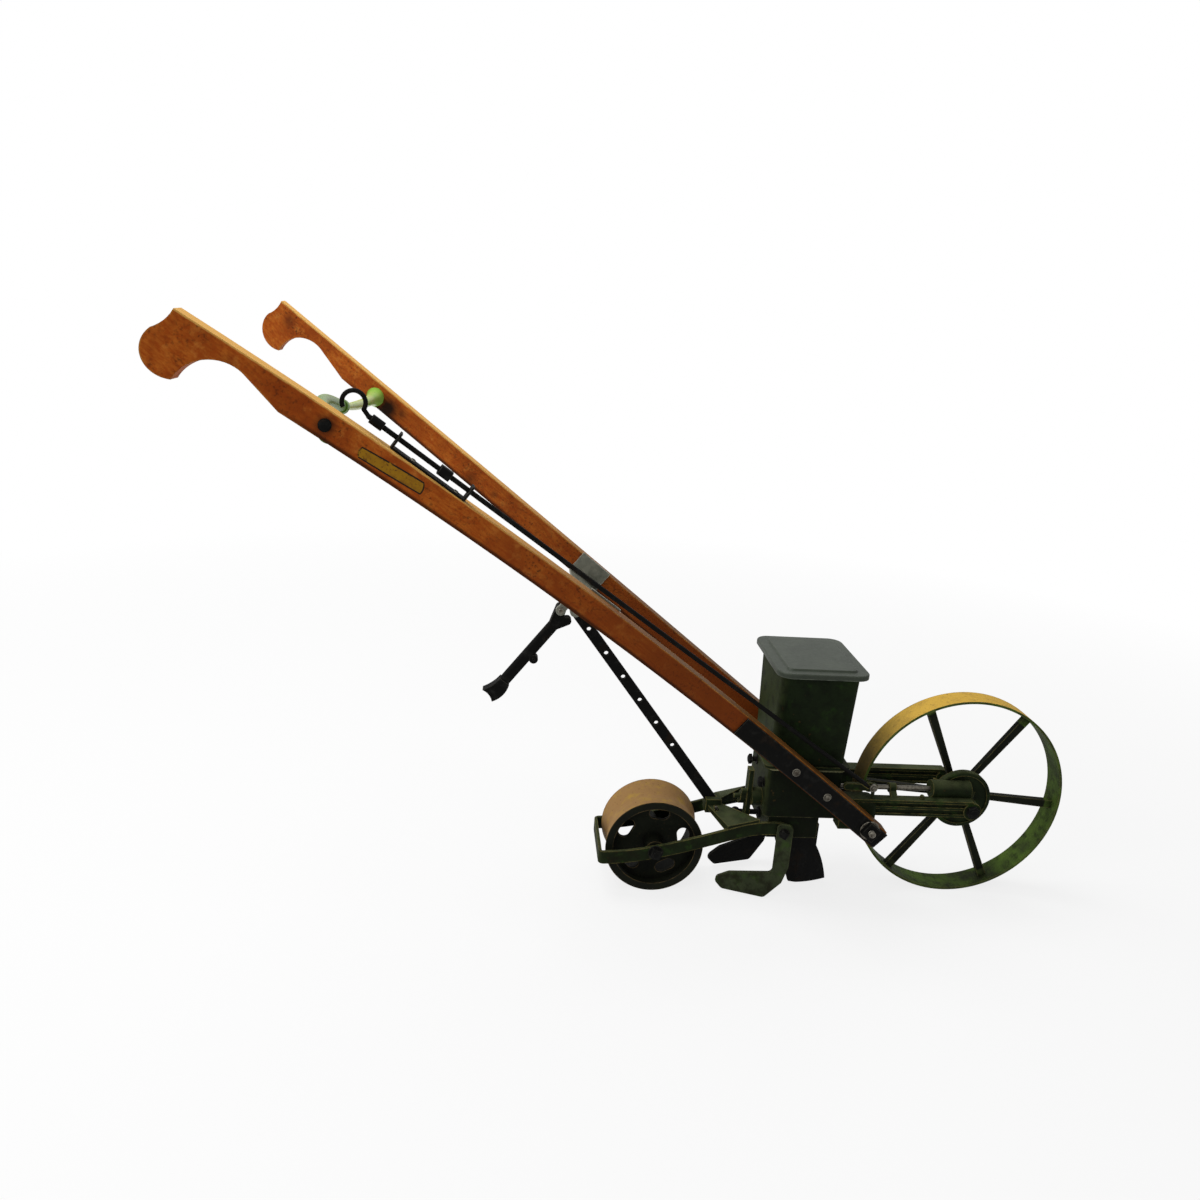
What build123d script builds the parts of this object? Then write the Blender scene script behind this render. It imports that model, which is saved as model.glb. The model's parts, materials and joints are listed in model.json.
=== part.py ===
"""Walk-behind seed drill: one wheel in front, a press roller behind, a hopper between them and two
bent wooden handles. Millimetres, +X forward, +Z up, the origin on the ground under the middle."""
import os
from math import atan, degrees

from build123d import *

os.makedirs("parts", exist_ok=True)

# Fits shared by all pieces
running_gap = 0.05
side_gap = 1.5
right = -1
left = 1

# Front wheel
wheel_radius = 175.0
wheel_x = 512.5
rim_width = 43.0
rim_wall = 4.0
hub_radius = 19.0
hub_length = 52.0
flange_radius = 44.0
flange_thickness = 5.0
spoke_count = 6
spoke_turn = -5.0
spoke_root = 9.0
spoke_tip = 14.0
spoke_depth = 10.0
axle_radius = 6.0
axle_overhang = 5.0

# Press roller and its yoke
roller_radius = 81.0
roller_x = -2.5
roller_width = 84.0
tread_wall = 7.0
groove_depth = 6.0
groove_flat = 8.0
web_offset = 20.0
web_thickness = 6.0
web_hole_count = 5
web_hole_circle = 51.0
web_hole_length = 34.0
web_hole_width = 20.0
web_hole_turn = 82.0
roller_hub_radius = 16.0
roller_axle_radius = 7.0
yoke_inside = 109.0
yoke_strap = 5.0
yoke_depth = 22.0
yoke_rear_gap = 6.5
yoke_corner = 9.0
yoke_rear_drop = 12.0
yoke_dip = 13.2
yoke_front_x = 205.0
yoke_front_z = 128.0

# Hopper and lid
hopper_x = 230.0
hopper_length = 124.0
hopper_top_width = 160.0
hopper_foot_width = 120.0
hopper_foot_z = 244.0
hopper_top_z = 408.0
hopper_wall = 2.5
hopper_corner = 18.0
hopper_flange = 8.0
hopper_flange_thickness = 5.0
lid_overhang = 11.0
lid_thickness = 3.0
lid_panel_inset = 16.0
lid_panel_rise = 2.5
lid_skirt = 5.0
lid_corner = 22.0
lid_edge = 2.4
hinge_pin_radius = 2.0
hinge_knuckle_radius = 4.0
hinge_length = 70.0
hinge_lug = 12.0

# Body casting under the hopper
body_length = 122.0
body_width = 120.0
body_foot_z = 152.0
body_corner = 8.0
bowl_wall = 5.0
bowl_floor_z = 188.0
seed_outlet_radius = 12.0
neck_length = 84.0
neck_rear_inset = 9.0
neck_foot_z = 112.0

# Fork arms and gear case
arm_outside = 137.0
arm_flange = 18.0
arm_flange_thickness = 5.0
arm_web = 8.0
arm_rib = 5.0
arm_top_z = 192.0
arm_foot_z = 163.0
arm_nose_radius = 15.0
arm_axle_z = 175.0
lug_length = 62.0
lug_width = 27.0
lug_foot_z = 138.0
lug_corner = 9.0
gear_case_radius = 50.0
gear_case_depth = 11.0
gear_case_back = 7.0
gear_case_rise = 6.0
gear_case_round = 3.0
gear_case_lip = 7.0
gear_case_recess = 2.0
housing_depth = 15.0
housing_draft = 38.0
ridge_rear_x = -54.0
ridge_rear_z = 38.0
ridge_front_x = 22.0
ridge_front_z = 14.0
housing_foot_z = -16.0
rim_clearance = 5.5
shaft_y = -42.0
shaft_z = 202.0
shaft_radius = 4.0
shaft_housing_radius = 15.0
shaft_housing_length = 66.0
shaft_bearing_x = 376.0
shaft_bearing_length = 11.0
stirrer_reach = 10.0
stirrer_radius = 2.0

# Handles: a parabola seen from the side and a cubic curve seen from above
handle_rear_x = -652.0
handle_rear_z = 896.0
handle_front_x = 362.0
handle_front_z = 149.0
handle_bow = 29.0
handle_depth = 44.0
handle_thickness = 28.0
plan_rear_x = -690.0
plan_front_x = 375.0
plan_rear_y = 289.0
plan_rear_pull = 130.0
plan_front_pull = 73.0
plan_front_y = 84.0
grip_radius = 33.0
grip_overhang = 2.5
grip_drop = 47.0
grip_top_angle = 130.0
grip_tip_angle = 263.0
grip_hollow = 3.0
finger_peak_reach = 30.0
finger_peak_drop = 35.56
finger_end_reach = 70.0
finger_end_drop = 26.16
knee_reach = 104.0
strap_rear_x = 112.0
strap_inset = 2.5
strap_thickness = 4.0
pivot_x = 331.5
pivot_z = 154.4
pivot_radius = 5.0
pivot_nut = 24.0
pivot_nut_thickness = 9.0

# Spreader between the grips, and the middle brace
spreader_x = -489.0
spreader_below_top = 26.0
spreader_flare = 20.0
spreader_waist = 10.0
spreader_socket = 9.0
spreader_tip = 5.0
spreader_set_back = 22.0
spreader_rise = 4.0
near_bow_back = 43.0
near_bow_up = 38.0
far_bow_back = -1.0
far_bow_up = -9.0
spreader_sleeve_wall = 2.0
spreader_sleeve_length = 6.0
brace_x = -140.0
brace_length = 56.0
brace_sheet = 3.0
brace_flange = 38.0

# Rest leg, brace bar, saddle and tie link
leg_pivot_x = -178.0
leg_pivot_drop = 90.25
leg_length = 180.0
leg_lean = 37.0
leg_offset = 8.5
leg_width = 18.0
leg_thickness = 13.0
leg_round = 5.5
leg_head_radius = 8.5
leg_throat = 24.0
leg_stop_x = 8.0
leg_stop_y = 20.0
leg_stop_radius = 6.5
leg_eye_y = 20.1
leg_eye_radius = 7.0
leg_eye_hole = 2.2
leg_hoof = 33.0
leg_hoof_reach = 18.0
leg_hoof_thickness = 18.0
leg_heel_drop = 6.0
leg_heel_reach = 5.5
leg_pin_radius = 4.0
clevis_gap = 14.0
clevis_cheek = 4.0
bar_top_x = -155.0
bar_top_drop = 74.36
bar_foot_x = 121.0
bar_foot_z = 113.0
bar_width = 18.0
bar_thickness = 5.0
bar_hole_radius = 3.5
bar_hole_pitch = 49.0
bar_hole_count = 6
bar_hole_start = 38.0
bar_pin_radius = 3.5
saddle_rear_x = 82.0
saddle_apex_length = 26.0
saddle_apex_z = 143.0
saddle_foot_x = 112.0
saddle_foot_length = 52.0
saddle_plate = 6.0
saddle_block_width = 26.0
tie_radius = 4.5
tie_knuckle_radius = 8.0
tie_z = 128.0

# Soil tools
ground_gap = 3.0
shoe_thickness = 30.0
shoe_front_x = 281.0
shoe_rear_x = 214.0
shoe_toe_x = 306.0
shoe_heel_x = 238.0
shoe_waist_z = 72.0
shoe_rocker = 3.0
shoe_slot = 14.0
coverer_plate = 5.0
coverer_turn = 18.0
coverer_shank_x = 193.0
coverer_shank_width = 26.0
coverer_top_z = 142.0
coverer_blade_z = 52.0
coverer_blade_fall = 14.0
coverer_blade_length = 70.0
coverer_tip = 26.0
coverer_tip_z = 22.0
coverer_toe_rise = 2.0
coverer_heel = 8.0
coverer_heel_z = 36.0
coverer_back_z = 66.0
coverer_round = 9.0

# Seed gate clamp behind the body
gate_y = -24.0
gate_z = 170.0
gate_boss_radius = 15.0
gate_boss_length = 17.0
gate_bar_thickness = 8.0
gate_bar_width = 17.0
gate_bar_top_z = 220.0
gate_bar_foot_z = 123.0
gate_stud_radius = 4.0
gate_nut_radius = 8.0
gate_nut_length = 10.0
gate_wing_reach = 19.0
gate_wing_thickness = 4.0

# Control rod beside the right handle
rod_radius = 3.5
rod_foot = (333.0, -66.0, 214.0)
rod_head_x = -448.0
rod_head_inset = 12.0
rod_head_rise = 19.0
hook_back = 19.0
hook_rise = 17.0
hook_radius = 15.0
hook_wire = 3.0
hook_start_angle = -33.0
hook_sweep = 240.0
sleeve_radius = 6.5
sleeve_length = 22.0
collar_size = 14.0
collar_length = 18.0
collar_setback = 129.7
guide_width = 16.0
guide_sheet = 3.0
guide_front_setback = 152.5
guide_rear_setback = 33.5
guide_rise = 9.0
lever_width = 12.0
lever_thickness = 6.0
lever_front_x = 347.0
lever_eye_radius = 8.0


def save(builder, name):
    """Label a finished piece and write it to its own file."""
    builder.part.label = name
    export_step(builder.part, f"parts/{name}.step")


def handle_z(x):
    """Height of a handle's top edge at x, on the parabola with its control point raised by the bow."""
    along = (x - handle_rear_x) / (handle_front_x - handle_rear_x)
    straight = handle_rear_z + along * (handle_front_z - handle_rear_z)
    return straight + 2 * along * (1 - along) * handle_bow


def handle_slope(x):
    """Slope of a handle's top edge at x."""
    span = handle_front_x - handle_rear_x
    along = (x - handle_rear_x) / span
    return (handle_front_z - handle_rear_z + 2 * (1 - 2 * along) * handle_bow) / span


def handle_run(x_start, x_end, drop):
    """A stretch of the handle's parabola, lowered by a drop, as the curve's three control points."""
    x_middle = (x_start + x_end) / 2
    z_start = handle_z(x_start) - drop
    z_middle = z_start + handle_slope(x_start) * (x_middle - x_start)
    return Bezier((x_start, z_start), (x_middle, z_middle), (x_end, handle_z(x_end) - drop))


def square_end(x_top, drop):
    """Where a cut square to the handle, started on its top edge at x_top, comes out a drop below."""
    slope = handle_slope(x_top)
    return x_top + slope * drop / (1 + slope ** 2)


def handle_y(x):
    """Distance of a handle's middle line from the drill's middle plane at x."""
    along = (x - plan_rear_x) / (plan_front_x - plan_rear_x)
    back = 1 - along
    pulls = 3 * back ** 2 * along * plan_rear_pull + 3 * back * along ** 2 * plan_front_pull
    return back ** 3 * plan_rear_y + pulls + along ** 3 * plan_front_y


def plan_curve(side, shift):
    """The handle's curve seen from above, moved outwards by a shift."""
    third = (plan_front_x - plan_rear_x) / 3
    return Bezier(
        (plan_rear_x, side * (plan_rear_y + shift)),
        (plan_rear_x + third, side * (plan_rear_pull + shift)),
        (plan_front_x - third, side * (plan_front_pull + shift)),
        (plan_front_x, side * (plan_front_y + shift)),
    )


def plan_band(side, inside, outside):
    """The area seen from above between two shifts of the handle's curve."""
    with BuildSketch() as band:
        with BuildLine():
            inner = plan_curve(side, inside)
            outer = plan_curve(side, outside)
            Line(inner @ 0, outer @ 0)
            Line(inner @ 1, outer @ 1)
        make_face()
    return band.sketch


# Planes across the drill: local x forward and local y up, or local x left and local y up
wheel_plane = Plane(origin=(wheel_x, 0, wheel_radius), x_dir=(1, 0, 0), z_dir=(0, -1, 0))
roller_plane = Plane(origin=(roller_x, 0, roller_radius), x_dir=(1, 0, 0), z_dir=(0, -1, 0))
roller_section = Plane(origin=(roller_x, 0, roller_radius), x_dir=(0, 1, 0), z_dir=(1, 0, 0))
roller_axis = Axis((roller_x, 0, roller_radius), (0, 1, 0))
half_handle = handle_thickness / 2
tall = handle_rear_z + handle_depth
wide = plan_rear_y + handle_thickness

# Front wheel: a flat band rim, six tapered spokes and a hub with the flange that drives the gears
rim_inside = wheel_radius - rim_wall
with BuildPart() as front_wheel:
    with BuildSketch(wheel_plane):
        Circle(wheel_radius)
        Circle(rim_inside, mode=Mode.SUBTRACT)
    extrude(amount=rim_width / 2, both=True)
    with BuildSketch(wheel_plane):
        with PolarLocations(0, spoke_count, start_angle=spoke_turn):
            Polygon(
                (hub_radius / 2, -spoke_root / 2),
                (rim_inside + rim_wall / 2, -spoke_tip / 2),
                (rim_inside + rim_wall / 2, spoke_tip / 2),
                (hub_radius / 2, spoke_root / 2),
                align=None,
            )
    extrude(amount=spoke_depth / 2, both=True)
    with BuildSketch(wheel_plane):
        Circle(hub_radius)
    extrude(amount=hub_length / 2, both=True)
    with BuildSketch(wheel_plane.offset(rim_width / 2 - flange_thickness)):
        Circle(flange_radius)
    extrude(amount=flange_thickness)
    with BuildSketch(wheel_plane):
        Circle(axle_radius + running_gap)
    extrude(amount=hub_length, both=True, mode=Mode.SUBTRACT)
save(front_wheel, "front_wheel")

# Press roller: a grooved tread on one pierced web
tread_inside = roller_radius - groove_depth - tread_wall
half_roller = roller_width / 2
roller_hub_half = yoke_inside / 2 - side_gap
with BuildPart() as press_roller:
    with BuildSketch(roller_section):
        with BuildLine():
            Polyline(
                (-half_roller, tread_inside),
                (-half_roller, roller_radius),
                (-groove_flat / 2, roller_radius - groove_depth),
                (groove_flat / 2, roller_radius - groove_depth),
                (half_roller, roller_radius),
                (half_roller, tread_inside),
                close=True,
            )
        make_face()
        with Locations((-web_offset, tread_inside / 2)):
            Rectangle(web_thickness, tread_inside + tread_wall)
        with Locations((0, roller_hub_radius / 2)):
            Rectangle(2 * roller_hub_half, roller_hub_radius)
        with Locations((0, roller_axle_radius / 2)):
            Rectangle(4 * roller_hub_half, roller_axle_radius + 2 * running_gap, mode=Mode.SUBTRACT)
        with Locations((0, -roller_radius / 2)):
            Rectangle(4 * roller_hub_half, roller_radius, mode=Mode.SUBTRACT)
    revolve(axis=roller_axis)
    with BuildSketch(roller_plane):
        with PolarLocations(web_hole_circle, web_hole_count, start_angle=web_hole_turn):
            SlotOverall(web_hole_length, web_hole_width, rotation=90)
    extrude(amount=half_roller, mode=Mode.SUBTRACT)
save(press_roller, "press_roller")

# Yoke: a flat strap bent round the roller, rising towards the body
yoke_outside = yoke_inside / 2 + yoke_strap
yoke_rear_x = roller_x - roller_radius - yoke_rear_gap - yoke_strap
half_yoke = yoke_depth / 2
yoke_middle = [
    (yoke_rear_x, roller_radius - yoke_rear_drop),
    (roller_x, roller_radius),
    (saddle_foot_x, yoke_front_z - yoke_dip),
    (yoke_front_x - 2 * yoke_depth, yoke_front_z),
    (yoke_front_x, yoke_front_z),
]
with BuildPart() as roller_yoke:
    with BuildSketch(Plane.XZ):
        with BuildLine():
            upper = Spline([(x, z + half_yoke) for x, z in yoke_middle])
            lower = Spline([(x, z - half_yoke) for x, z in yoke_middle])
            Line(upper @ 0, lower @ 0)
            Line(upper @ 1, lower @ 1)
        make_face()
    extrude(amount=yoke_outside, both=True)
    with BuildSketch() as yoke_plan:
        with BuildLine():
            Polyline(
                (yoke_front_x, -yoke_outside),
                (yoke_rear_x, -yoke_outside),
                (yoke_rear_x, yoke_outside),
                (yoke_front_x, yoke_outside),
                close=True,
            )
        make_face()
        fillet(yoke_plan.vertices().group_by(Axis.X)[0], yoke_corner)
        with BuildLine():
            Polyline(
                (yoke_front_x, -yoke_inside / 2),
                (yoke_rear_x + yoke_strap, -yoke_inside / 2),
                (yoke_rear_x + yoke_strap, yoke_inside / 2),
                (yoke_front_x, yoke_inside / 2),
                close=True,
            )
        make_face(mode=Mode.SUBTRACT)
    extrude(amount=tall, mode=Mode.INTERSECT)
    with BuildSketch(roller_plane):
        Circle(roller_axle_radius + running_gap)
    extrude(amount=yoke_outside, both=True, mode=Mode.SUBTRACT)
save(roller_yoke, "roller_yoke")

with BuildPart() as roller_axle:
    with BuildSketch(roller_plane):
        Circle(roller_axle_radius)
    extrude(amount=yoke_outside + axle_overhang, both=True)
save(roller_axle, "roller_axle")

# Body casting: a box with a seed bowl on top and a narrower neck for the soil tools below
body_rear_x = hopper_x - body_length / 2
body_front_x = hopper_x + body_length / 2
body_top_z = hopper_foot_z - hopper_flange_thickness
neck_rear_x = body_rear_x + neck_rear_inset
with BuildPart() as body_casting:
    with BuildSketch(Plane.XY.offset(body_foot_z)):
        with Locations((hopper_x, 0)):
            RectangleRounded(body_length, body_width, body_corner)
    extrude(amount=body_top_z - body_foot_z)
    with BuildSketch(Plane.XY.offset(neck_foot_z)):
        with Locations((neck_rear_x + neck_length / 2, 0)):
            Rectangle(neck_length, yoke_inside)
    extrude(amount=body_foot_z - neck_foot_z)
    with BuildSketch(Plane.XY.offset(bowl_floor_z)):
        with Locations((hopper_x, 0)):
            RectangleRounded(body_length - 2 * bowl_wall, body_width - 2 * bowl_wall, body_corner)
    extrude(amount=body_top_z - bowl_floor_z, mode=Mode.SUBTRACT)
    with Locations((shoe_rear_x + seed_outlet_radius, 0, bowl_floor_z)):
        Hole(seed_outlet_radius, depth=bowl_floor_z)
    with BuildSketch(Plane.YZ.offset(body_front_x - 2 * bowl_wall)):
        with Locations((shaft_y, shaft_z)):
            Circle(shaft_radius + running_gap)
    extrude(amount=3 * bowl_wall, mode=Mode.SUBTRACT)
save(body_casting, "body_casting")

# Hopper: a thin-walled box that widens upwards, on a flange
with BuildPart() as hopper:
    with BuildSketch(Plane.XY.offset(body_top_z)):
        with Locations((hopper_x, 0)):
            RectangleRounded(
                hopper_length + 2 * hopper_flange, hopper_foot_width + hopper_flange, hopper_corner / 2
            )
    extrude(amount=hopper_flange_thickness)
    for height, width in ((hopper_foot_z, hopper_foot_width), (hopper_top_z, hopper_top_width)):
        with BuildSketch(Plane.XY.offset(height)):
            with Locations((hopper_x, 0)):
                RectangleRounded(hopper_length, width, hopper_corner)
    loft()
    widening = (hopper_top_width - hopper_foot_width) / (hopper_top_z - hopper_foot_z)
    for height in (body_top_z, hopper_top_z + hopper_wall):
        inner_width = hopper_foot_width + widening * (height - hopper_foot_z) - 2 * hopper_wall
        with BuildSketch(Plane.XY.offset(height)):
            with Locations((hopper_x, 0)):
                RectangleRounded(hopper_length - 2 * hopper_wall, inner_width, hopper_corner - hopper_wall)
    loft(mode=Mode.SUBTRACT)
    hinge_x = hopper_x + hopper_length / 2 + hinge_knuckle_radius + side_gap
    hinge_z = hopper_top_z - hinge_knuckle_radius
    with BuildSketch(Plane.XZ):
        with Locations((hinge_x, hinge_z)):
            Circle(hinge_knuckle_radius)
        with Locations((hinge_x - hinge_knuckle_radius, hinge_z)):
            Rectangle(2 * hinge_knuckle_radius, 2 * hinge_knuckle_radius)
    lug_reach = hinge_length / 2 + hinge_lug
    extrude(amount=lug_reach, both=True)
    with BuildSketch(Plane.XZ):
        with Locations((hinge_x + hinge_knuckle_radius, hinge_z)):
            Rectangle(4 * hinge_knuckle_radius + 2 * side_gap, 4 * hinge_knuckle_radius)
    extrude(amount=hinge_length / 2 + side_gap / 3, both=True, mode=Mode.SUBTRACT)
    with BuildSketch(Plane.XZ):
        with Locations((hinge_x, hinge_z)):
            Circle(hinge_pin_radius + running_gap)
    extrude(amount=lug_reach, both=True, mode=Mode.SUBTRACT)
save(hopper, "hopper")

# Lid: a flat plate with a raised panel and a turned-down edge, hinged at the front of the hopper
lid_z = hopper_top_z + side_gap / 5
lid_length = hopper_length + 2 * lid_overhang
lid_width = hopper_top_width + 2 * lid_overhang
with BuildPart() as hopper_lid:
    with BuildSketch(Plane.XY.offset(lid_z - lid_skirt)):
        with Locations((hopper_x, 0)):
            RectangleRounded(lid_length, lid_width, lid_corner)
    extrude(amount=lid_skirt + lid_thickness)
    fillet(hopper_lid.faces().sort_by(Axis.Z)[-1].edges(), lid_edge)
    with BuildSketch(Plane.XY.offset(lid_z - lid_skirt)):
        with Locations((hopper_x, 0)):
            RectangleRounded(
                lid_length - 2 * hopper_wall, lid_width - 2 * hopper_wall, lid_corner - hopper_wall
            )
        with Locations((hopper_x + lid_length / 2, 0)):
            Rectangle(2 * lid_corner, 2 * lug_reach + 4 * side_gap)
    extrude(amount=lid_skirt, mode=Mode.SUBTRACT)
    with BuildSketch(Plane.XY.offset(lid_z + lid_thickness)):
        with Locations((hopper_x, 0)):
            RectangleRounded(
                lid_length - 2 * lid_panel_inset, lid_width - 2 * lid_panel_inset, lid_corner / 2
            )
    extrude(amount=lid_panel_rise, taper=45)
    with BuildSketch(Plane.XZ):
        with Locations((hinge_x, hinge_z)):
            Circle(hinge_knuckle_radius)
        with Locations((hinge_x, (hinge_z + lid_z) / 2)):
            Rectangle(2 * hinge_knuckle_radius, lid_z - hinge_z)
        with Locations((hinge_x, hinge_z)):
            Circle(hinge_pin_radius + running_gap, mode=Mode.SUBTRACT)
    extrude(amount=hinge_length / 2, both=True)
save(hopper_lid, "hopper_lid")

with BuildPart() as lid_hinge_pin:
    with BuildSketch(Plane.XZ):
        with Locations((hinge_x, hinge_z)):
            Circle(hinge_pin_radius)
    extrude(amount=lug_reach + side_gap, both=True)
save(lid_hinge_pin, "lid_hinge_pin")

# Fork arms: a flanged beam with a side rib, from a lug on the body to a rounded nose at the axle;
# past the lug it slopes as far as the axle's height asks
arm_inside = arm_outside / 2 - arm_flange
arm_middle = arm_outside / 2 - arm_flange / 2
arm_middle_z = (arm_foot_z + arm_top_z) / 2
lug_front_x = body_front_x + lug_length
arm_reach = Vector(wheel_x - lug_front_x, 0, wheel_radius - arm_axle_z)
bearing_foot_z = arm_top_z + arm_reach.Z / arm_reach.X * (shaft_bearing_x - lug_front_x)


def arm_section(side, x):
    """The arm's section at x: a top flange, a web and two ribs."""
    with BuildSketch(Plane.YZ.offset(x)) as section:
        with Locations((side * arm_middle, arm_top_z - arm_flange_thickness / 2)):
            Rectangle(arm_flange, arm_flange_thickness)
        with Locations((side * arm_middle, arm_middle_z)):
            Rectangle(arm_web, arm_top_z - arm_foot_z)
        for rib_z in (arm_foot_z + arm_rib / 2, arm_middle_z):
            with Locations((side * arm_middle, rib_z)):
                Rectangle(arm_flange - arm_rib, arm_rib)
    return section.sketch


def build_arm(side):
    """One fork arm, with the shaft's bearing on the right one."""
    with BuildPart() as arm:
        with BuildSketch(Plane.XZ.offset(-side * (arm_outside / 2 - lug_width))) as lug:
            with Locations((body_front_x + lug_length / 2, (lug_foot_z + arm_top_z) / 2)):
                Rectangle(lug_length, arm_top_z - lug_foot_z)
            fillet(lug.vertices().group_by(Axis.X)[-1].sort_by(Axis.Z)[0], arm_nose_radius)
        extrude(amount=-side * lug_width)
        outer_face = arm.faces().sort_by(Axis.Y)[-1 if side == left else 0]
        fillet(outer_face.edges().filter_by(lambda edge: edge.center().X > lug_front_x - lug_corner), lug_corner)
        extrude(arm_section(side, body_front_x), amount=lug_length)
        extrude(arm_section(side, lug_front_x), amount=arm_reach.length, dir=arm_reach)
        with BuildSketch(wheel_plane.offset(-side * arm_inside)):
            Circle(arm_nose_radius)
        extrude(amount=-side * arm_flange)
        if side == right:
            with BuildSketch(Plane.YZ.offset(shaft_bearing_x)):
                with Locations((shaft_y, shaft_z)):
                    Circle(2 * shaft_radius)
                Polygon(
                    (-arm_middle, bearing_foot_z - arm_flange_thickness),
                    (-arm_middle, bearing_foot_z),
                    (shaft_y, shaft_z + shaft_radius),
                    (shaft_y, shaft_z - shaft_radius),
                    align=None,
                )
            extrude(amount=shaft_bearing_length)
            with BuildSketch(Plane.YZ.offset(shaft_bearing_x)):
                with Locations((shaft_y, shaft_z)):
                    Circle(shaft_radius + running_gap)
            extrude(amount=shaft_bearing_length, mode=Mode.SUBTRACT)
        with BuildSketch(wheel_plane):
            Circle(axle_radius + running_gap)
        extrude(amount=arm_outside, both=True, mode=Mode.SUBTRACT)
        with BuildSketch(Plane.XZ):
            with Locations((pivot_x, pivot_z)):
                Circle(pivot_radius + running_gap)
        extrude(amount=arm_outside, both=True, mode=Mode.SUBTRACT)
    return arm


fork_arm_right = build_arm(right)
save(fork_arm_right, "fork_arm_right")
fork_arm_left = build_arm(left)
save(fork_arm_left, "fork_arm_left")

with BuildPart() as front_axle:
    with BuildSketch(wheel_plane):
        Circle(axle_radius)
    extrude(amount=arm_outside / 2 + axle_overhang, both=True)
save(front_axle, "front_axle")

# Gear case: a rimmed disc beside the hub, a sloped housing below a slanting ridge and a barrel for the
# shaft's end
case_inside = rim_width / 2 + rim_clearance
shaft_end_x = wheel_x - shaft_housing_length / 2
case_plane = Plane(
    origin=(wheel_x - gear_case_back, -case_inside, wheel_radius + gear_case_rise),
    x_dir=(1, 0, 0),
    z_dir=(0, -1, 0),
)
with BuildPart() as gear_case:
    with BuildSketch(case_plane):
        Circle(gear_case_radius)
    extrude(amount=gear_case_depth)
    fillet(gear_case.faces().sort_by(Axis.Y)[0].edges(), gear_case_round)
    with BuildSketch(case_plane.offset(gear_case_depth - gear_case_recess)):
        Circle(gear_case_radius - gear_case_lip)
    extrude(amount=gear_case_recess, mode=Mode.SUBTRACT)
    with BuildSketch(case_plane.offset(gear_case_depth - gear_case_recess)):
        Polygon(
            (ridge_rear_x, ridge_rear_z),
            (ridge_rear_x, housing_foot_z),
            (ridge_front_x, housing_foot_z),
            (ridge_front_x, ridge_front_z),
            align=None,
        )
    extrude(amount=housing_depth, taper=housing_draft)
    with BuildSketch(wheel_plane.offset(case_inside)):
        Circle(arm_nose_radius)
    extrude(amount=arm_inside - case_inside)
    with BuildSketch(Plane.YZ.offset(wheel_x - shaft_housing_length)):
        with Locations((shaft_y, shaft_z)):
            Circle(shaft_housing_radius)
    extrude(amount=shaft_housing_length)
    with BuildSketch(Plane.YZ.offset(wheel_x - shaft_housing_length)):
        with Locations((shaft_y, shaft_z)):
            Circle(shaft_radius + running_gap)
    extrude(amount=shaft_housing_length / 2 + side_gap, mode=Mode.SUBTRACT)
    with BuildSketch(wheel_plane):
        Circle(axle_radius + running_gap)
    extrude(amount=arm_outside, mode=Mode.SUBTRACT)
    add(fork_arm_right.part, mode=Mode.SUBTRACT)
save(gear_case, "gear_case")

# Drive shaft, with a stirring pin inside the seed bowl
shaft_rear_x = hopper_x
with BuildPart() as drive_shaft:
    with BuildSketch(Plane.YZ.offset(shaft_rear_x)):
        with Locations((shaft_y, shaft_z)):
            Circle(shaft_radius)
    extrude(amount=shaft_end_x - shaft_rear_x)
    with BuildSketch(Plane.XZ.offset(-shaft_y)):
        with Locations((shaft_rear_x + 2 * shaft_radius, shaft_z)):
            Circle(stirrer_radius)
    extrude(amount=stirrer_reach, both=True)
save(drive_shaft, "drive_shaft")


# Handles: a side outline with a sculpted grip, met by the bent band seen from above
def build_handle(side):
    """One bent wooden handle, its edges still sharp."""
    foot_x = square_end(handle_front_x, handle_depth)
    grip_centre = (handle_rear_x - grip_overhang, handle_rear_z - grip_drop)
    peak_x = handle_rear_x + finger_peak_reach
    end_x = handle_rear_x + finger_end_reach
    finger_peak = (peak_x, handle_z(peak_x) - finger_peak_drop)
    finger_end = (end_x, handle_z(end_x) - finger_end_drop)
    with BuildPart() as handle:
        with BuildSketch(Plane.XZ):
            with BuildLine():
                top_edge = handle_run(handle_rear_x, handle_front_x, 0)
                foot_edge = handle_run(handle_rear_x + knee_reach, foot_x, handle_depth)
                Line(top_edge @ 1, foot_edge @ 1)
                bulge = CenterArc(
                    grip_centre, grip_radius, grip_top_angle, grip_tip_angle - grip_top_angle
                )
                SagittaArc(top_edge @ 0, bulge @ 0, grip_hollow)
                finger = ThreePointArc(bulge @ 1, finger_peak, finger_end)
                Line(finger @ 1, foot_edge @ 0)
            make_face()
        extrude(amount=wide, both=True)
        extrude(plan_band(side, -half_handle, half_handle), amount=tall, mode=Mode.INTERSECT)
        with BuildSketch(Plane.XZ):
            with Locations((pivot_x, pivot_z)):
                Circle(pivot_radius + running_gap)
        extrude(amount=wide, both=True, mode=Mode.SUBTRACT)
    return handle


def build_strap(side):
    """The flat iron on the outside of a handle's lower end."""
    top_rear = strap_rear_x
    foot_drop = handle_depth - strap_inset
    with BuildPart() as strap:
        with BuildSketch(Plane.XZ):
            with BuildLine():
                top_edge = handle_run(top_rear, handle_front_x, strap_inset)
                foot_edge = handle_run(
                    square_end(top_rear, foot_drop), square_end(handle_front_x, foot_drop), foot_drop
                )
                Line(top_edge @ 0, foot_edge @ 0)
                Line(top_edge @ 1, foot_edge @ 1)
            make_face()
        extrude(amount=wide, both=True)
        extrude(
            plan_band(side, half_handle, half_handle + strap_thickness), amount=tall, mode=Mode.INTERSECT
        )
        with BuildSketch(Plane.XZ):
            with Locations((pivot_x, pivot_z)):
                Circle(pivot_radius + running_gap)
        extrude(amount=wide, both=True, mode=Mode.SUBTRACT)
    return strap


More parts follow.
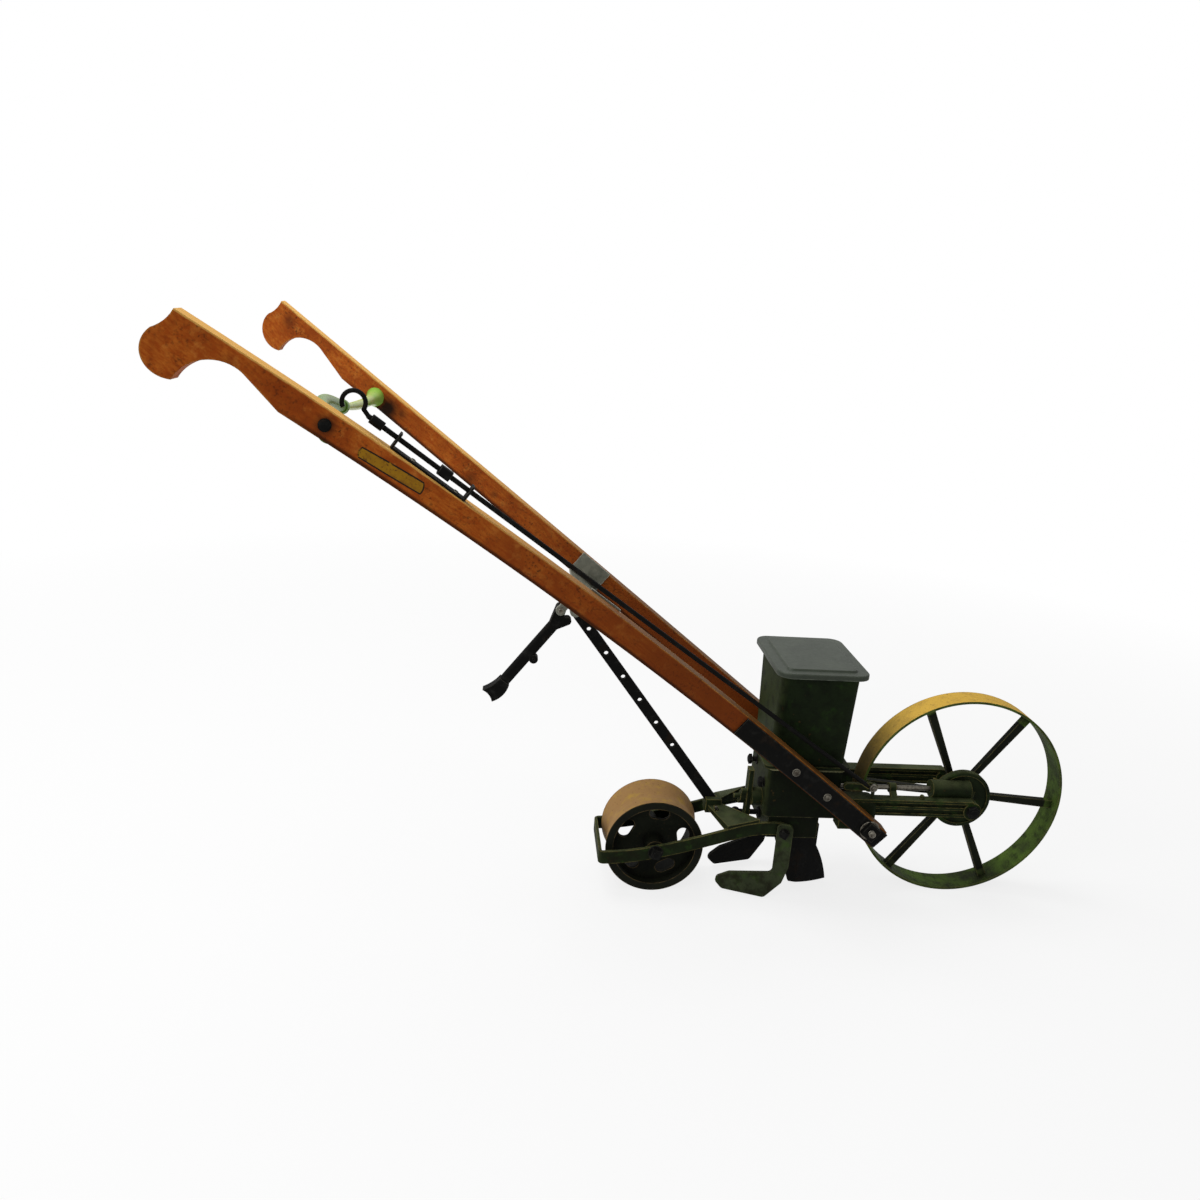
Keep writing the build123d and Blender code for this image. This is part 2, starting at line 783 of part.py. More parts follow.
def build_pivot_bolt(side):
    """The bolt that joins a handle to its lug, with a large square nut outside the strap."""
    nut_y = handle_y(pivot_x) + half_handle + strap_thickness + side_gap / 5
    head_y = arm_outside / 2 - lug_width
    slant = degrees(atan(handle_slope(pivot_x)))
    with BuildPart() as bolt:
        with BuildSketch(Plane.XZ.offset(-side * (head_y - pivot_radius))):
            with Locations((pivot_x, pivot_z)):
                Circle(pivot_radius)
        extrude(amount=-side * (nut_y + pivot_nut_thickness + pivot_radius - head_y + pivot_radius))
        with BuildSketch(Plane.XZ.offset(-side * nut_y)):
            with Locations((pivot_x, pivot_z)):
                Rectangle(pivot_nut, pivot_nut, rotation=slant)
        extrude(amount=-side * pivot_nut_thickness)
        with BuildSketch(Plane.XZ.offset(-side * head_y)):
            with Locations((pivot_x, pivot_z)):
                Circle(2 * pivot_radius)
        extrude(amount=side * pivot_radius)
    return bolt


handle_right = build_handle(right)
save(handle_right, "handle_right")
handle_left = build_handle(left)
save(handle_left, "handle_left")
save(build_strap(right), "handle_strap_right")
save(build_strap(left), "handle_strap_left")
save(build_pivot_bolt(right), "pivot_bolt_right")
save(build_pivot_bolt(left), "pivot_bolt_left")

# Spreader: two curved, flared horns between the grips; the left one's slim end meets the right one's mouth
spreader_z = handle_z(spreader_x) - spreader_below_top
spreader_joint = Vector(spreader_x - spreader_set_back, 0, spreader_z + spreader_rise)
horn_flare_share = 0.25
horn_shares = (0.0, 0.1, 0.25, 0.65)


def horn_path(side, bow_back, bow_up):
    """One horn's middle line, from inside its handle to the joint, bowed backwards and upwards."""
    root = Vector(spreader_x, side * handle_y(spreader_x), spreader_z)
    pull = (root + spreader_joint) * 0.5 + Vector(-bow_back, 0, bow_up)
    return Bezier(root, pull, spreader_joint)


near_path = horn_path(right, near_bow_back, near_bow_up)
far_path = horn_path(left, far_bow_back, far_bow_up)
mouth = Plane(origin=spreader_joint, z_dir=near_path % 1)


def horn_radius(share, end_radius):
    """A horn's radius at a share of its path: a straight taper, plus a flare that dies out as a parabola."""
    taper = spreader_waist + share * (end_radius - spreader_waist)
    return taper + (spreader_flare - spreader_waist) * max(0, 1 - share / horn_flare_share) ** 2


def build_horn(path, end_plane, end_radius, handle):
    """One horn lofted through circles along its path, cut to the handle that it stands on."""
    with BuildPart() as horn:
        for share in horn_shares:
            with BuildSketch(Plane(path ^ share)):
                Circle(horn_radius(share, end_radius))
        with BuildSketch(end_plane):
            Circle(end_radius)
        loft()
        add(handle.part, mode=Mode.SUBTRACT)
    return horn.solids().sort_by(SortBy.VOLUME)[-1]


with BuildPart() as spreader_horn_right:
    add(build_horn(near_path, mouth, spreader_socket, handle_right))
save(spreader_horn_right, "spreader_horn_right")

with BuildPart() as spreader_horn_left:
    add(build_horn(far_path, -mouth.offset(side_gap / 10), spreader_tip, handle_left))
save(spreader_horn_left, "spreader_horn_left")

with BuildPart() as spreader_sleeve:
    with BuildSketch(mouth):
        Circle(spreader_socket + spreader_sleeve_wall)
        Circle(spreader_socket + side_gap / 10, mode=Mode.SUBTRACT)
    extrude(amount=-spreader_sleeve_length)
save(spreader_sleeve, "spreader_sleeve")

# Middle brace: a sheet channel between the handles with two cheeks below for the leg and the bar
brace_tilt = handle_slope(brace_x)
brace_plane = Plane(
    origin=(brace_x, 0, handle_z(brace_x) - handle_depth),
    x_dir=(1, 0, brace_tilt),
    z_dir=(-brace_tilt, 0, 1),
)


def between_handles(shift):
    """The area seen from above between the two handles' curves, each moved outwards by a shift."""
    with BuildSketch() as area:
        with BuildLine():
            near = plan_curve(right, shift)
            far = plan_curve(left, shift)
            Line(near @ 0, far @ 0)
            Line(near @ 1, far @ 1)
        make_face()
    return area.sketch


with BuildPart() as brace_pocket:
    extrude(between_handles(-half_handle - brace_sheet), amount=tall)
    with BuildSketch(brace_plane.offset(brace_sheet)):
        Rectangle(2 * brace_length, 2 * wide)
    extrude(amount=2 * brace_flange, mode=Mode.INTERSECT)

cheek_inside = clevis_gap / 2
cheek_outside = cheek_inside + clevis_cheek
leg_pivot_z = handle_z(leg_pivot_x) - leg_pivot_drop
bar_top_z = handle_z(bar_top_x) - bar_top_drop
tabs = (
    (leg_pivot_x, leg_pivot_z, 2 * leg_pin_radius, -brace_length / 2),
    (bar_top_x, bar_top_z, bar_width / 2, -brace_length / 8),
)
with BuildPart() as middle_brace:
    extrude(between_handles(-half_handle), amount=tall)
    with BuildSketch(brace_plane):
        Rectangle(brace_length, 2 * wide)
    extrude(amount=brace_flange, mode=Mode.INTERSECT)
    add(brace_pocket.part, mode=Mode.SUBTRACT)
    for side in (right, left):
        with BuildSketch(Plane.XZ.offset(-side * cheek_inside)):
            for pin_x, pin_z, tab_radius, root in tabs:
                root_rear = brace_plane.from_local_coords((root, 0, brace_sheet / 2))
                root_front = brace_plane.from_local_coords((root + 2 * tab_radius, 0, brace_sheet / 2))
                Polygon(
                    (root_rear.X, root_rear.Z),
                    (root_front.X, root_front.Z),
                    (pin_x + tab_radius, pin_z),
                    (pin_x - tab_radius, pin_z),
                    align=None,
                )
                with Locations((pin_x, pin_z)):
                    Circle(tab_radius)
            with Locations((leg_pivot_x, leg_pivot_z)):
                Circle(leg_pin_radius + running_gap, mode=Mode.SUBTRACT)
            with Locations((bar_top_x, bar_top_z)):
                Circle(bar_pin_radius + running_gap, mode=Mode.SUBTRACT)
        extrude(amount=-side * clevis_cheek)
save(middle_brace, "middle_brace")

with BuildPart() as leg_pin:
    with BuildSketch(Plane.XZ):
        with Locations((leg_pivot_x, leg_pivot_z)):
            Circle(leg_pin_radius)
    extrude(amount=cheek_outside + clevis_cheek, both=True)
save(leg_pin, "leg_pin")

# Rest leg: a forked head with the pin in one lobe, a round-edged shank, an eye and a flared foot
leg_plane = Plane(
    origin=(leg_pivot_x, 0, leg_pivot_z),
    x_dir=Vector(0, 0, -1).rotate(Axis.Y, leg_lean),
    z_dir=(0, -1, 0),
)
shank_plane = Plane(
    origin=leg_plane.from_local_coords((leg_throat, leg_offset, 0)),
    x_dir=leg_plane.y_dir,
    z_dir=leg_plane.x_dir,
)
leg_lobes = ((0, 0, leg_head_radius), (leg_stop_x, leg_stop_y, leg_stop_radius))
hoof_x = leg_length - leg_hoof
with BuildPart() as rest_leg:
    for lobe_x, lobe_y, lobe_radius in leg_lobes:
        with BuildSketch(leg_plane):
            with Locations((lobe_x, lobe_y)):
                Circle(lobe_radius)
            with Locations((leg_throat, leg_offset)):
                Circle(leg_width / 2)
            make_hull()
        extrude(amount=leg_thickness / 2, both=True)
    with BuildSketch(shank_plane):
        RectangleRounded(leg_width, leg_thickness, leg_round)
    extrude(amount=hoof_x - leg_throat)
    with BuildSketch(leg_plane):
        with BuildLine():
            shank_rear = (hoof_x, leg_offset - leg_width / 2)
            shank_front = (hoof_x, leg_offset + leg_width / 2)
            toe = (leg_length, leg_offset - leg_hoof_reach)
            heel = (leg_length + leg_heel_drop, leg_offset + leg_heel_reach)
            ThreePointArc(shank_rear, (hoof_x + leg_hoof / 2, leg_offset - leg_width * 5 / 8), toe)
            ThreePointArc(toe, (leg_length, leg_offset - leg_heel_reach), heel)
            ThreePointArc(heel, (leg_length - leg_hoof / 3, leg_offset + leg_width * 2 / 3), shank_front)
            Line(shank_front, shank_rear)
        make_face()
    extrude(amount=leg_hoof_thickness / 2, both=True)
    with BuildSketch(leg_plane):
        with Locations((leg_length / 2, leg_eye_y)):
            Circle(leg_eye_radius)
    extrude(amount=leg_thickness / 2, both=True)
    with BuildSketch(leg_plane):
        Circle(leg_pin_radius + running_gap)
        with Locations((leg_length / 2, leg_eye_y)):
            Circle(leg_eye_hole)
    extrude(amount=leg_thickness, both=True, mode=Mode.SUBTRACT)
save(rest_leg, "rest_leg")

# Brace bar: a flat bar with a row of holes that set the handles' height
bar_run = Vector(bar_foot_x - bar_top_x, 0, bar_foot_z - bar_top_z)
bar_plane = Plane(origin=(bar_top_x, 0, bar_top_z), x_dir=bar_run, z_dir=(0, -1, 0))
bar_pin_at = bar_run.length - 2 * bar_width
with BuildPart() as brace_bar:
    with BuildSketch(bar_plane):
        with Locations((bar_run.length / 2, 0)):
            SlotOverall(bar_run.length + bar_width, bar_width)
        for hole in range(bar_hole_count):
            with Locations((bar_hole_start + hole * bar_hole_pitch, 0)):
                Circle(bar_hole_radius, mode=Mode.SUBTRACT)
        with Locations((0, 0), (bar_pin_at, 0)):
            Circle(bar_pin_radius + running_gap, mode=Mode.SUBTRACT)
    extrude(amount=bar_thickness / 2, both=True)
save(brace_bar, "brace_bar")

with BuildPart() as bar_pins:
    with BuildSketch(bar_plane):
        Circle(bar_pin_radius)
    extrude(amount=cheek_outside + clevis_cheek, both=True)
    with BuildSketch(bar_plane):
        with Locations((bar_pin_at, 0)):
            Circle(bar_pin_radius)
    extrude(amount=saddle_block_width / 2 + clevis_cheek, both=True)
save(bar_pins, "bar_pins")

# Saddle: two plates that spread from the bar's foot to the yoke's sides
yoke_rise = yoke_dip / (yoke_front_x - 2 * yoke_depth - saddle_foot_x)
with BuildPart() as saddle:
    for side in (right, left):
        with BuildSketch(Plane.XZ.offset(-side * saddle_block_width / 4)):
            with Locations((saddle_rear_x + saddle_apex_length / 2, saddle_apex_z)):
                Rectangle(saddle_apex_length, saddle_plate)
        with BuildSketch(Plane.XZ.offset(-side * yoke_outside)):
            foot_z = yoke_front_z - yoke_dip + half_yoke
            Polygon(
                (saddle_foot_x, foot_z - saddle_plate),
                (saddle_foot_x + saddle_foot_length, foot_z - saddle_plate),
                (saddle_foot_x + saddle_foot_length, foot_z + yoke_rise * saddle_foot_length + saddle_plate),
                (saddle_foot_x, foot_z + saddle_plate),
                align=None,
            )
        loft()
    with BuildSketch(Plane.XY.offset(saddle_apex_z - 2 * saddle_plate)):
        with Locations((saddle_rear_x + saddle_apex_length / 2, 0)):
            Rectangle(saddle_apex_length, saddle_block_width)
    extrude(amount=4 * saddle_plate)
    add(roller_yoke.part, mode=Mode.SUBTRACT)
    add(brace_bar.part, mode=Mode.SUBTRACT)
    with BuildSketch(bar_plane):
        with Locations((bar_pin_at, 0)):
            Circle(bar_pin_radius + running_gap)
    extrude(amount=saddle_block_width, both=True, mode=Mode.SUBTRACT)
save(saddle, "saddle")

# Tie link from the bar's foot to the body's neck
with BuildPart() as tie_link:
    tie_start_x = bar_foot_x - bar_width / 2
    with BuildSketch(Plane.YZ.offset(tie_start_x)):
        with Locations((0, tie_z)):
            Circle(tie_radius)
    extrude(amount=neck_rear_x - tie_start_x)
    with Locations((tie_start_x + 3 * tie_knuckle_radius, 0, tie_z)):
        Sphere(tie_knuckle_radius)
    with BuildSketch(Plane.YZ.offset(neck_rear_x - tie_radius)):
        with Locations((0, tie_z)):
            Circle(2 * tie_radius)
    extrude(amount=tie_radius)
    add(brace_bar.part, mode=Mode.SUBTRACT)
save(tie_link, "tie_link")

# Opener shoe: a hollow boot with a pointed toe, under the neck
with BuildPart() as opener_shoe:
    with BuildSketch(Plane.XZ):
        with BuildLine():
            toe_point = (shoe_toe_x, ground_gap + shoe_rocker)
            heel_point = (shoe_heel_x, ground_gap + shoe_rocker)
            ThreePointArc(toe_point, ((shoe_toe_x + shoe_heel_x) / 2, ground_gap), heel_point)
            Polyline(
                heel_point,
                (shoe_rear_x, shoe_waist_z),
                (shoe_rear_x, neck_foot_z),
                (shoe_front_x, neck_foot_z),
                (shoe_front_x, shoe_waist_z),
            )
            SagittaArc((shoe_front_x, shoe_waist_z), toe_point, shoe_rocker)
        make_face()
    extrude(amount=shoe_thickness / 2, both=True)
    with BuildSketch():
        Polygon(
            (shoe_rear_x, -shoe_thickness / 2),
            (shoe_front_x - shoe_thickness, -shoe_thickness / 2),
            (shoe_toe_x + ground_gap, -ground_gap / 2),
            (shoe_toe_x + ground_gap, ground_gap / 2),
            (shoe_front_x - shoe_thickness, shoe_thickness / 2),
            (shoe_rear_x, shoe_thickness / 2),
            align=None,
        )
    extrude(amount=neck_foot_z, mode=Mode.INTERSECT)
    with BuildSketch():
        with Locations(((shoe_rear_x + shoe_front_x - shoe_thickness) / 2, 0)):
            Rectangle(shoe_front_x - shoe_thickness - shoe_rear_x + shoe_slot, shoe_slot)
    extrude(amount=neck_foot_z, mode=Mode.SUBTRACT)
save(opener_shoe, "opener_shoe")


# Coverers: flat blades that hang outside the yoke and turn inwards behind the shoe
def build_coverer(side):
    """One coverer, its shank against the yoke's side."""
    blade_plane = Plane(
        origin=(coverer_shank_x, side * (yoke_outside + coverer_plate / 2 + running_gap), 0),
        x_dir=Vector(-1, 0, 0).rotate(Axis.Z, side * coverer_turn),
        z_dir=Vector(0, 1, 0).rotate(Axis.Z, side * coverer_turn),
    )
    with BuildPart() as coverer:
        with BuildSketch(blade_plane):
            with BuildLine():
                FilletPolyline(
                    (-coverer_shank_width, coverer_top_z),
                    (0, coverer_top_z),
                    (0, coverer_blade_z),
                    (coverer_blade_length, coverer_blade_z - coverer_blade_fall),
                    (coverer_blade_length + coverer_tip, coverer_tip_z),
                    (coverer_blade_length + coverer_round, ground_gap + coverer_toe_rise),
                    (coverer_heel, ground_gap),
                    (coverer_heel - coverer_shank_width, coverer_heel_z),
                    (-coverer_shank_width, coverer_back_z),
                    radius=coverer_round,
                    close=True,
                )
            make_face()
        extrude(amount=coverer_plate / 2, both=True)
    return coverer


save(build_coverer(right), "coverer_right")
save(build_coverer(left), "coverer_left")

# Seed gate clamp: a boss and stud on the body, a bar and a wing nut
gate_plane = Plane(origin=(body_rear_x, gate_y, gate_z), x_dir=(0, -1, 0), z_dir=(-1, 0, 0))
with BuildPart() as gate_boss:
    with BuildSketch(gate_plane):
        Circle(gate_boss_radius)
    extrude(amount=gate_boss_length)
    with BuildSketch(gate_plane):
        Circle(gate_stud_radius)
    extrude(amount=gate_boss_length + gate_bar_thickness + 2 * gate_nut_length)
save(gate_boss, "gate_boss")

with BuildPart() as gate_bar:
    with BuildSketch(gate_plane.offset(gate_boss_length)):
        with Locations((0, (gate_bar_top_z + gate_bar_foot_z) / 2 - gate_z)):
            Rectangle(gate_bar_width, gate_bar_top_z - gate_bar_foot_z)
        Circle(gate_stud_radius + running_gap, mode=Mode.SUBTRACT)
    extrude(amount=gate_bar_thickness)
save(gate_bar, "gate_bar")

with BuildPart() as gate_nut:
    with BuildSketch(gate_plane.offset(gate_boss_length + gate_bar_thickness)):
        Circle(gate_nut_radius)
        SlotOverall(2 * gate_wing_reach, gate_wing_thickness * 2, rotation=60)
        Circle(gate_stud_radius + running_gap, mode=Mode.SUBTRACT)
    extrude(amount=gate_nut_length)
save(gate_nut, "gate_nut")

# Control rod: a straight rod with a ring hook, held by a guide on the right handle
rod_head = (rod_head_x, rod_head_inset - handle_y(rod_head_x), handle_z(rod_head_x) + rod_head_rise)
rod_foot_point = Vector(*rod_foot)
rod_run = Vector(*rod_head) - rod_foot_point
rod_plane = Plane(origin=rod_foot, x_dir=(0, 1, 0), z_dir=rod_run)
hook_x = rod_head[0] - hook_back
hook_z = rod_head[2] + hook_rise
hook_plane = Plane(origin=(hook_x, rod_head[1], hook_z), x_dir=(1, 0, 0), z_dir=(0, -1, 0))
hook_start = hook_plane.from_local_coords(Vector(hook_radius, 0).rotate(Axis.Z, hook_start_angle))
hook_lead = hook_start - Vector(*rod_head)
with BuildPart() as control_rod:
    with BuildSketch(rod_plane):
        Circle(rod_radius)
    extrude(amount=rod_run.length)
    with BuildSketch(Plane(origin=rod_head, z_dir=hook_lead)):
        Circle(hook_wire)
    extrude(amount=hook_lead.length)
    with Locations(rod_head):
        Sphere(rod_radius)
    with Locations(hook_start):
        Sphere(hook_wire)
    hook_across = Vector(1, 0).rotate(Axis.Z, hook_start_angle)
    hook_section = Plane(origin=hook_start, x_dir=(hook_across.X, 0, hook_across.Y), z_dir=(
        -hook_across.Y, 0, hook_across.X))
    with BuildSketch(hook_section):
        Circle(hook_wire)
    revolve(axis=Axis((hook_x, rod_head[1], hook_z), (0, -1, 0)), revolution_arc=hook_sweep)
save(control_rod, "control_rod")

with BuildPart() as rod_sleeve:
    with BuildSketch(rod_plane.offset(rod_run.length - sleeve_length)):
        Circle(sleeve_radius)
        Circle(rod_radius + running_gap, mode=Mode.SUBTRACT)
    extrude(amount=sleeve_length - rod_radius)
save(rod_sleeve, "rod_sleeve")

with BuildPart() as rod_collar:
    with BuildSketch(rod_plane.offset(rod_run.length - collar_setback)):
        RectangleRounded(collar_size, collar_size, rod_radius)
        Circle(rod_radius + running_gap, mode=Mode.SUBTRACT)
    extrude(amount=collar_length)
save(rod_collar, "rod_collar")

guide_ends = [
    Vector(*rod_head) - rod_run.normalized() * setback for setback in (guide_front_setback, guide_rear_setback)
]
guide_x = (guide_ends[0].X + guide_ends[1].X) / 2
guide_y = (guide_ends[0].Y + guide_ends[1].Y) / 2
guide_tilt = handle_slope(guide_x)
guide_skew = rod_run.Y / rod_run.X
guide_plane = Plane(
    origin=(guide_x, guide_y, handle_z(guide_x)),
    x_dir=(1, guide_skew, guide_tilt),
    z_dir=(-guide_tilt, 0, 1),
)
guide_length = (guide_ends[1] - guide_ends[0]).length
guide_height = guide_plane.to_local_coords((guide_ends[0] + guide_ends[1]) * 0.5).Z + guide_rise
with BuildPart() as rod_guide:
    with BuildSketch(guide_plane):
        Rectangle(guide_length, guide_width)
    extrude(amount=guide_sheet)
    for end in (-1, 1):
        with BuildSketch(guide_plane):
            with Locations((end * (guide_length - guide_sheet) / 2, 0)):
                Rectangle(guide_sheet, guide_width)
        extrude(amount=guide_height)
    with BuildSketch(rod_plane):
        Circle(rod_radius + side_gap / 5)
    extrude(amount=rod_run.length, mode=Mode.SUBTRACT)
save(rod_guide, "rod_guide")

# Feed lever: a flat lever on a post above the right lug, hooked to the rod's foot
lever_z = rod_foot[2]
with BuildPart() as feed_lever:
    with BuildSketch(Plane.XZ.offset(-rod_foot[1])):
        with Locations(((body_front_x + lever_front_x) / 2, lever_z)):
            SlotOverall(lever_front_x - body_front_x, lever_width)
        with Locations((rod_foot[0], lever_z)):
            Circle(lever_eye_radius)
    extrude(amount=lever_thickness / 2, both=True)
    with BuildSketch(Plane.XY.offset(arm_top_z)):
        with Locations((lever_front_x - lever_width / 2, rod_foot[1])):
            Circle(lever_thickness / 2)
    extrude(amount=lever_z - arm_top_z)
    add(control_rod.part, mode=Mode.SUBTRACT)
save(feed_lever, "feed_lever")
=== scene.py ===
# %% [markdown]
# A walk-behind seed drill. Its castings, bars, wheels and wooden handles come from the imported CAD
# model, which stays exactly where it is. This lesson gives every surface its finish and adds the
# small things that a maker fits last: bolts, nuts, rivets, screws, a decal and the hopper's bead.

# %% Load the frame
import json

import bmesh
import bpy
import numpy as np
from mathutils import Matrix, Vector
from mathutils.bvhtree import BVHTree


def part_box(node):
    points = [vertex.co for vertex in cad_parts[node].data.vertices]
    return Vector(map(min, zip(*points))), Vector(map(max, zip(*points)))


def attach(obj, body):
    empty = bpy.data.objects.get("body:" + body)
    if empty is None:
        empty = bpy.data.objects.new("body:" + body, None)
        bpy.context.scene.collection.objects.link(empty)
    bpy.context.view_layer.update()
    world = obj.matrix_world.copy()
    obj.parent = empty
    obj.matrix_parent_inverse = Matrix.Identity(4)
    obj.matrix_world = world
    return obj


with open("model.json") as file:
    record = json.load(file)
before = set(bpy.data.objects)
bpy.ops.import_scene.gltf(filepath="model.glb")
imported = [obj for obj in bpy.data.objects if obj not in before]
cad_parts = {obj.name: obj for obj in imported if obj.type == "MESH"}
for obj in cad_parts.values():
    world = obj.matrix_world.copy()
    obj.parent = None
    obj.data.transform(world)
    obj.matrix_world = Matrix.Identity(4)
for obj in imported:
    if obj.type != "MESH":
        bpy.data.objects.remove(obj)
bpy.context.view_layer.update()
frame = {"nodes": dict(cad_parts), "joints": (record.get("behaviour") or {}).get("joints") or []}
MM = 0.001
nodes = frame["nodes"]
joint_at = {joint["name"]: Vector(joint["pos_m"]) for joint in frame["joints"]}

# %% [markdown]
# Colours are written as they are seen, as sRGB hex values, and Blender's shaders want linear light.
# One function turns the one into the other. Another adds any shader node, fills its sockets by value or
# by link, and hands back the output that the next node needs.

# %% Colour and node helpers
def linear(hex_colour):
    """An sRGB hex colour as linear RGBA: c / 12.92 in the darks, else ((c + 0.055) / 1.055) ** 2.4."""
    srgb = np.array([int(hex_colour[i:i + 2], 16) for i in (1, 3, 5)]) / 255
    rgb = np.where(srgb <= 0.04045, srgb / 12.92, ((srgb + 0.055) / 1.055) ** 2.4)
    return (*rgb.tolist(), 1.0)


def fill(tree, node, sockets):
    """Give a shader node's sockets their values, or links from other nodes' outputs."""
    for name, value in sockets.items():
        if isinstance(value, bpy.types.NodeSocket):
            tree.links.new(value, node.inputs[name])
        else:
            node.inputs[name].default_value = value


def add(tree, kind, inputs, output=0, **settings):
    """Add a shader node with its settings, fill its sockets, and return one of its outputs."""
    made = tree.nodes.new("ShaderNode" + kind)
    for name, value in settings.items():
        setattr(made, name, value)
    fill(tree, made, inputs)
    return made.outputs[output]


def new_finish(name):
    """A new material as (material, its node tree, the Object coordinates of a point)."""
    material = bpy.data.materials.new(name)
    material.use_nodes = True
    tree = material.node_tree
    return material, tree, add(tree, "TexCoord", {}, "Object")


def shade(tree, **sockets):
    """Fill the Principled shader's sockets; a name's underscores stand for spaces."""
    named = {name.replace("_", " "): value for name, value in sockets.items()}
    fill(tree, tree.nodes["Principled BSDF"], named)


print("black as linear light:", linear("#1E1E1C"))

# %% [markdown]
# Old paint is never even. Soft clouds and specks make it look used, and so does paint rubbed off along
# outer edges, which are also painted paler as a highlight. Inner corners are darkened as painted shade.
# Noise gives the clouds and specks. For the edges and the corners the shader looks a few millimetres
# around a point, into the piece for its edges and out of it for its corners, at the piece's own surface
# only, so that the wear and the painted shade stay put when the piece turns.

# %% Wear and painted light helpers
def patches(tree, where, size_mm, low, high, detail=4.0):
    """Soft-edged patches: noise with blobs of a size in millimetres, stretched from low..high to 0..1."""
    noise = add(tree, "TexNoise", {"Vector": where, "Scale": 1 / (size_mm * MM), "Detail": detail,
                                   "Roughness": 0.6})
    return add(tree, "MapRange", {"Value": noise, "From Min": low, "From Max": high})


def worn_and_highlit_edges(tree, where, reach_mm, grain_mm):
    """Share of paint rubbed off, which also serves as a painted highlight on outer edges: near 1 where the
    piece is thin within a reach, broken up by noise.
    """
    # Thin places are outer edges; their paler colour is rubbed paint and a painted highlight together.
    depth = add(tree, "AmbientOcclusion", {"Distance": reach_mm * MM}, "AO", inside=True, only_local=True,
                samples=6)
    edge = add(tree, "MapRange", {"Value": depth, "From Min": 0.88, "From Max": 0.6})
    ragged = patches(tree, where, grain_mm, 0.34, 0.58)
    return add(tree, "Math", {0: edge, 1: ragged}, operation="MULTIPLY")


def painted_corner_shade(tree, where, reach_mm):
    """Share of painted shade: 0 in the open and up to 1 in the piece's own inner corners, broken up by noise.
    """
    # Ambient occlusion of the piece's own corners, laid into the colour as painted shade.
    openness = add(tree, "AmbientOcclusion", {"Distance": reach_mm * MM}, "AO", only_local=True, samples=6)
    corner = add(tree, "MapRange", {"Value": openness, "From Min": 0.95, "From Max": 0.45})
    ragged = patches(tree, where, reach_mm, 0.3, 0.6)
    return add(tree, "Math", {0: corner, 1: ragged}, operation="MULTIPLY")


def layers(tree, ground, *coats):
    """Colours laid over each other: each coat is (share, colour), and covers what is below by its share."""
    colour = ground
    for share, coat in coats:
        colour = add(tree, "Mix", {0: share, 6: colour, 7: coat}, 2, data_type="RGBA")
    return colour


def skin_bump(tree, where, grain_mm, height_mm):
    """A fine uneven skin: (its noise, a bumped normal that also rounds the piece's edges by a millimetre)."""
    skin = add(tree, "TexNoise", {"Vector": where, "Scale": 1 / (grain_mm * MM), "Detail": 4.0})
    soft_edge = add(tree, "Bevel", {"Radius": 1.0 * MM}, samples=4)
    bump = add(tree, "Bump", {"Height": skin, "Strength": 0.5, "Distance": height_mm * MM,
                              "Normal": soft_edge})
    return skin, bump


# %% [markdown]
# The handles are bent ash under old varnish. What gives the eye wood is grain that runs along the
# bend, so the pattern's axis is turned to the handles' slope and stretched along it. Varnish wears off
# first on the top edge of the upper half, where hands and tools rub, and the pale band there is also a
# painted highlight, so the shader works out how far a point lies below that edge from the edge's own
# parabola, and lays pale wood there. The foot edge and the lower end are darker, and stains, old knots
# and a dark patch under the left horn's flare are dark spots at their own places.

# %% Handles' edge and the varnished wood
# The top edge's ends as (x, z), its bow, and how far below it the foot edge lies, in millimetres
HANDLE_REAR = (-652.0, 896.0)
HANDLE_FRONT = (362.0, 149.0)
HANDLE_BOW = 29.0
HANDLE_DROP = 44.0
# Stretches of x, in millimetres, over which the pale top edge, bare wood and painted highlight, the dark foot
# edge and the darker lower end set in
PALE_TOP_FROM = (-100.0, -360.0)
FOOT_FROM = (-560.0, -500.0)
DARK_END_FROM = (-400.0, 0.0)


def top_edge_terms():
    """The top edge's height as c0 + c1 x + c2 x^2, in metres: a straight line from rear to front plus the
    parabola 2 b t (1 - t), with the bow b and with t from 0 at the rear end to 1 at the front end."""
    span = (HANDLE_FRONT[0] - HANDLE_REAR[0]) * MM
    start = HANDLE_REAR[0] * MM
    fall = (HANDLE_FRONT[1] - HANDLE_REAR[1]) * MM
    bow = 2 * HANDLE_BOW * MM
    t_terms = np.array([-start / span, 1 / span, 0.0])
    t_squared = np.array([(start / span) ** 2, -2 * start / span ** 2, 1 / span ** 2])
    return np.array([HANDLE_REAR[1] * MM, 0.0, 0.0]) + (fall + bow) * t_terms - bow * t_squared


EDGE_TERMS = top_edge_terms()
HANDLE_TILT = np.arctan2(HANDLE_REAR[1] - HANDLE_FRONT[1], HANDLE_FRONT[0] - HANDLE_REAR[0])
# Each dark spot's place and radius in millimetres, and how much it covers
DARK_SPOTS = (
    ((-604.0, -254.0, 838.0), 17.0, 0.5),
    ((-648.0, -270.0, 862.0), 5.0, 0.8),
    ((-496.0, -223.0, 765.0), 17.0, 0.85),
    ((-455.0, -206.0, 716.0), 11.0, 0.35),
    # A dark patch on the left handle under the horn's flare
    ((-472.0, 186.0, 740.0), 27.0, 0.97),
    ((-446.0, 184.0, 734.0), 13.0, 0.6),
    ((-640.0, 250.0, 866.0), 15.0, 0.45),
    ((-330.0, 150.0, 640.0), 12.0, 0.55),
    ((-290.0, 140.0, 618.0), 7.0, 0.6),
    ((-130.0, -126.0, 498.0), 5.0, 0.7),
    ((150.0, -104.0, 300.0), 26.0, 0.5),
)


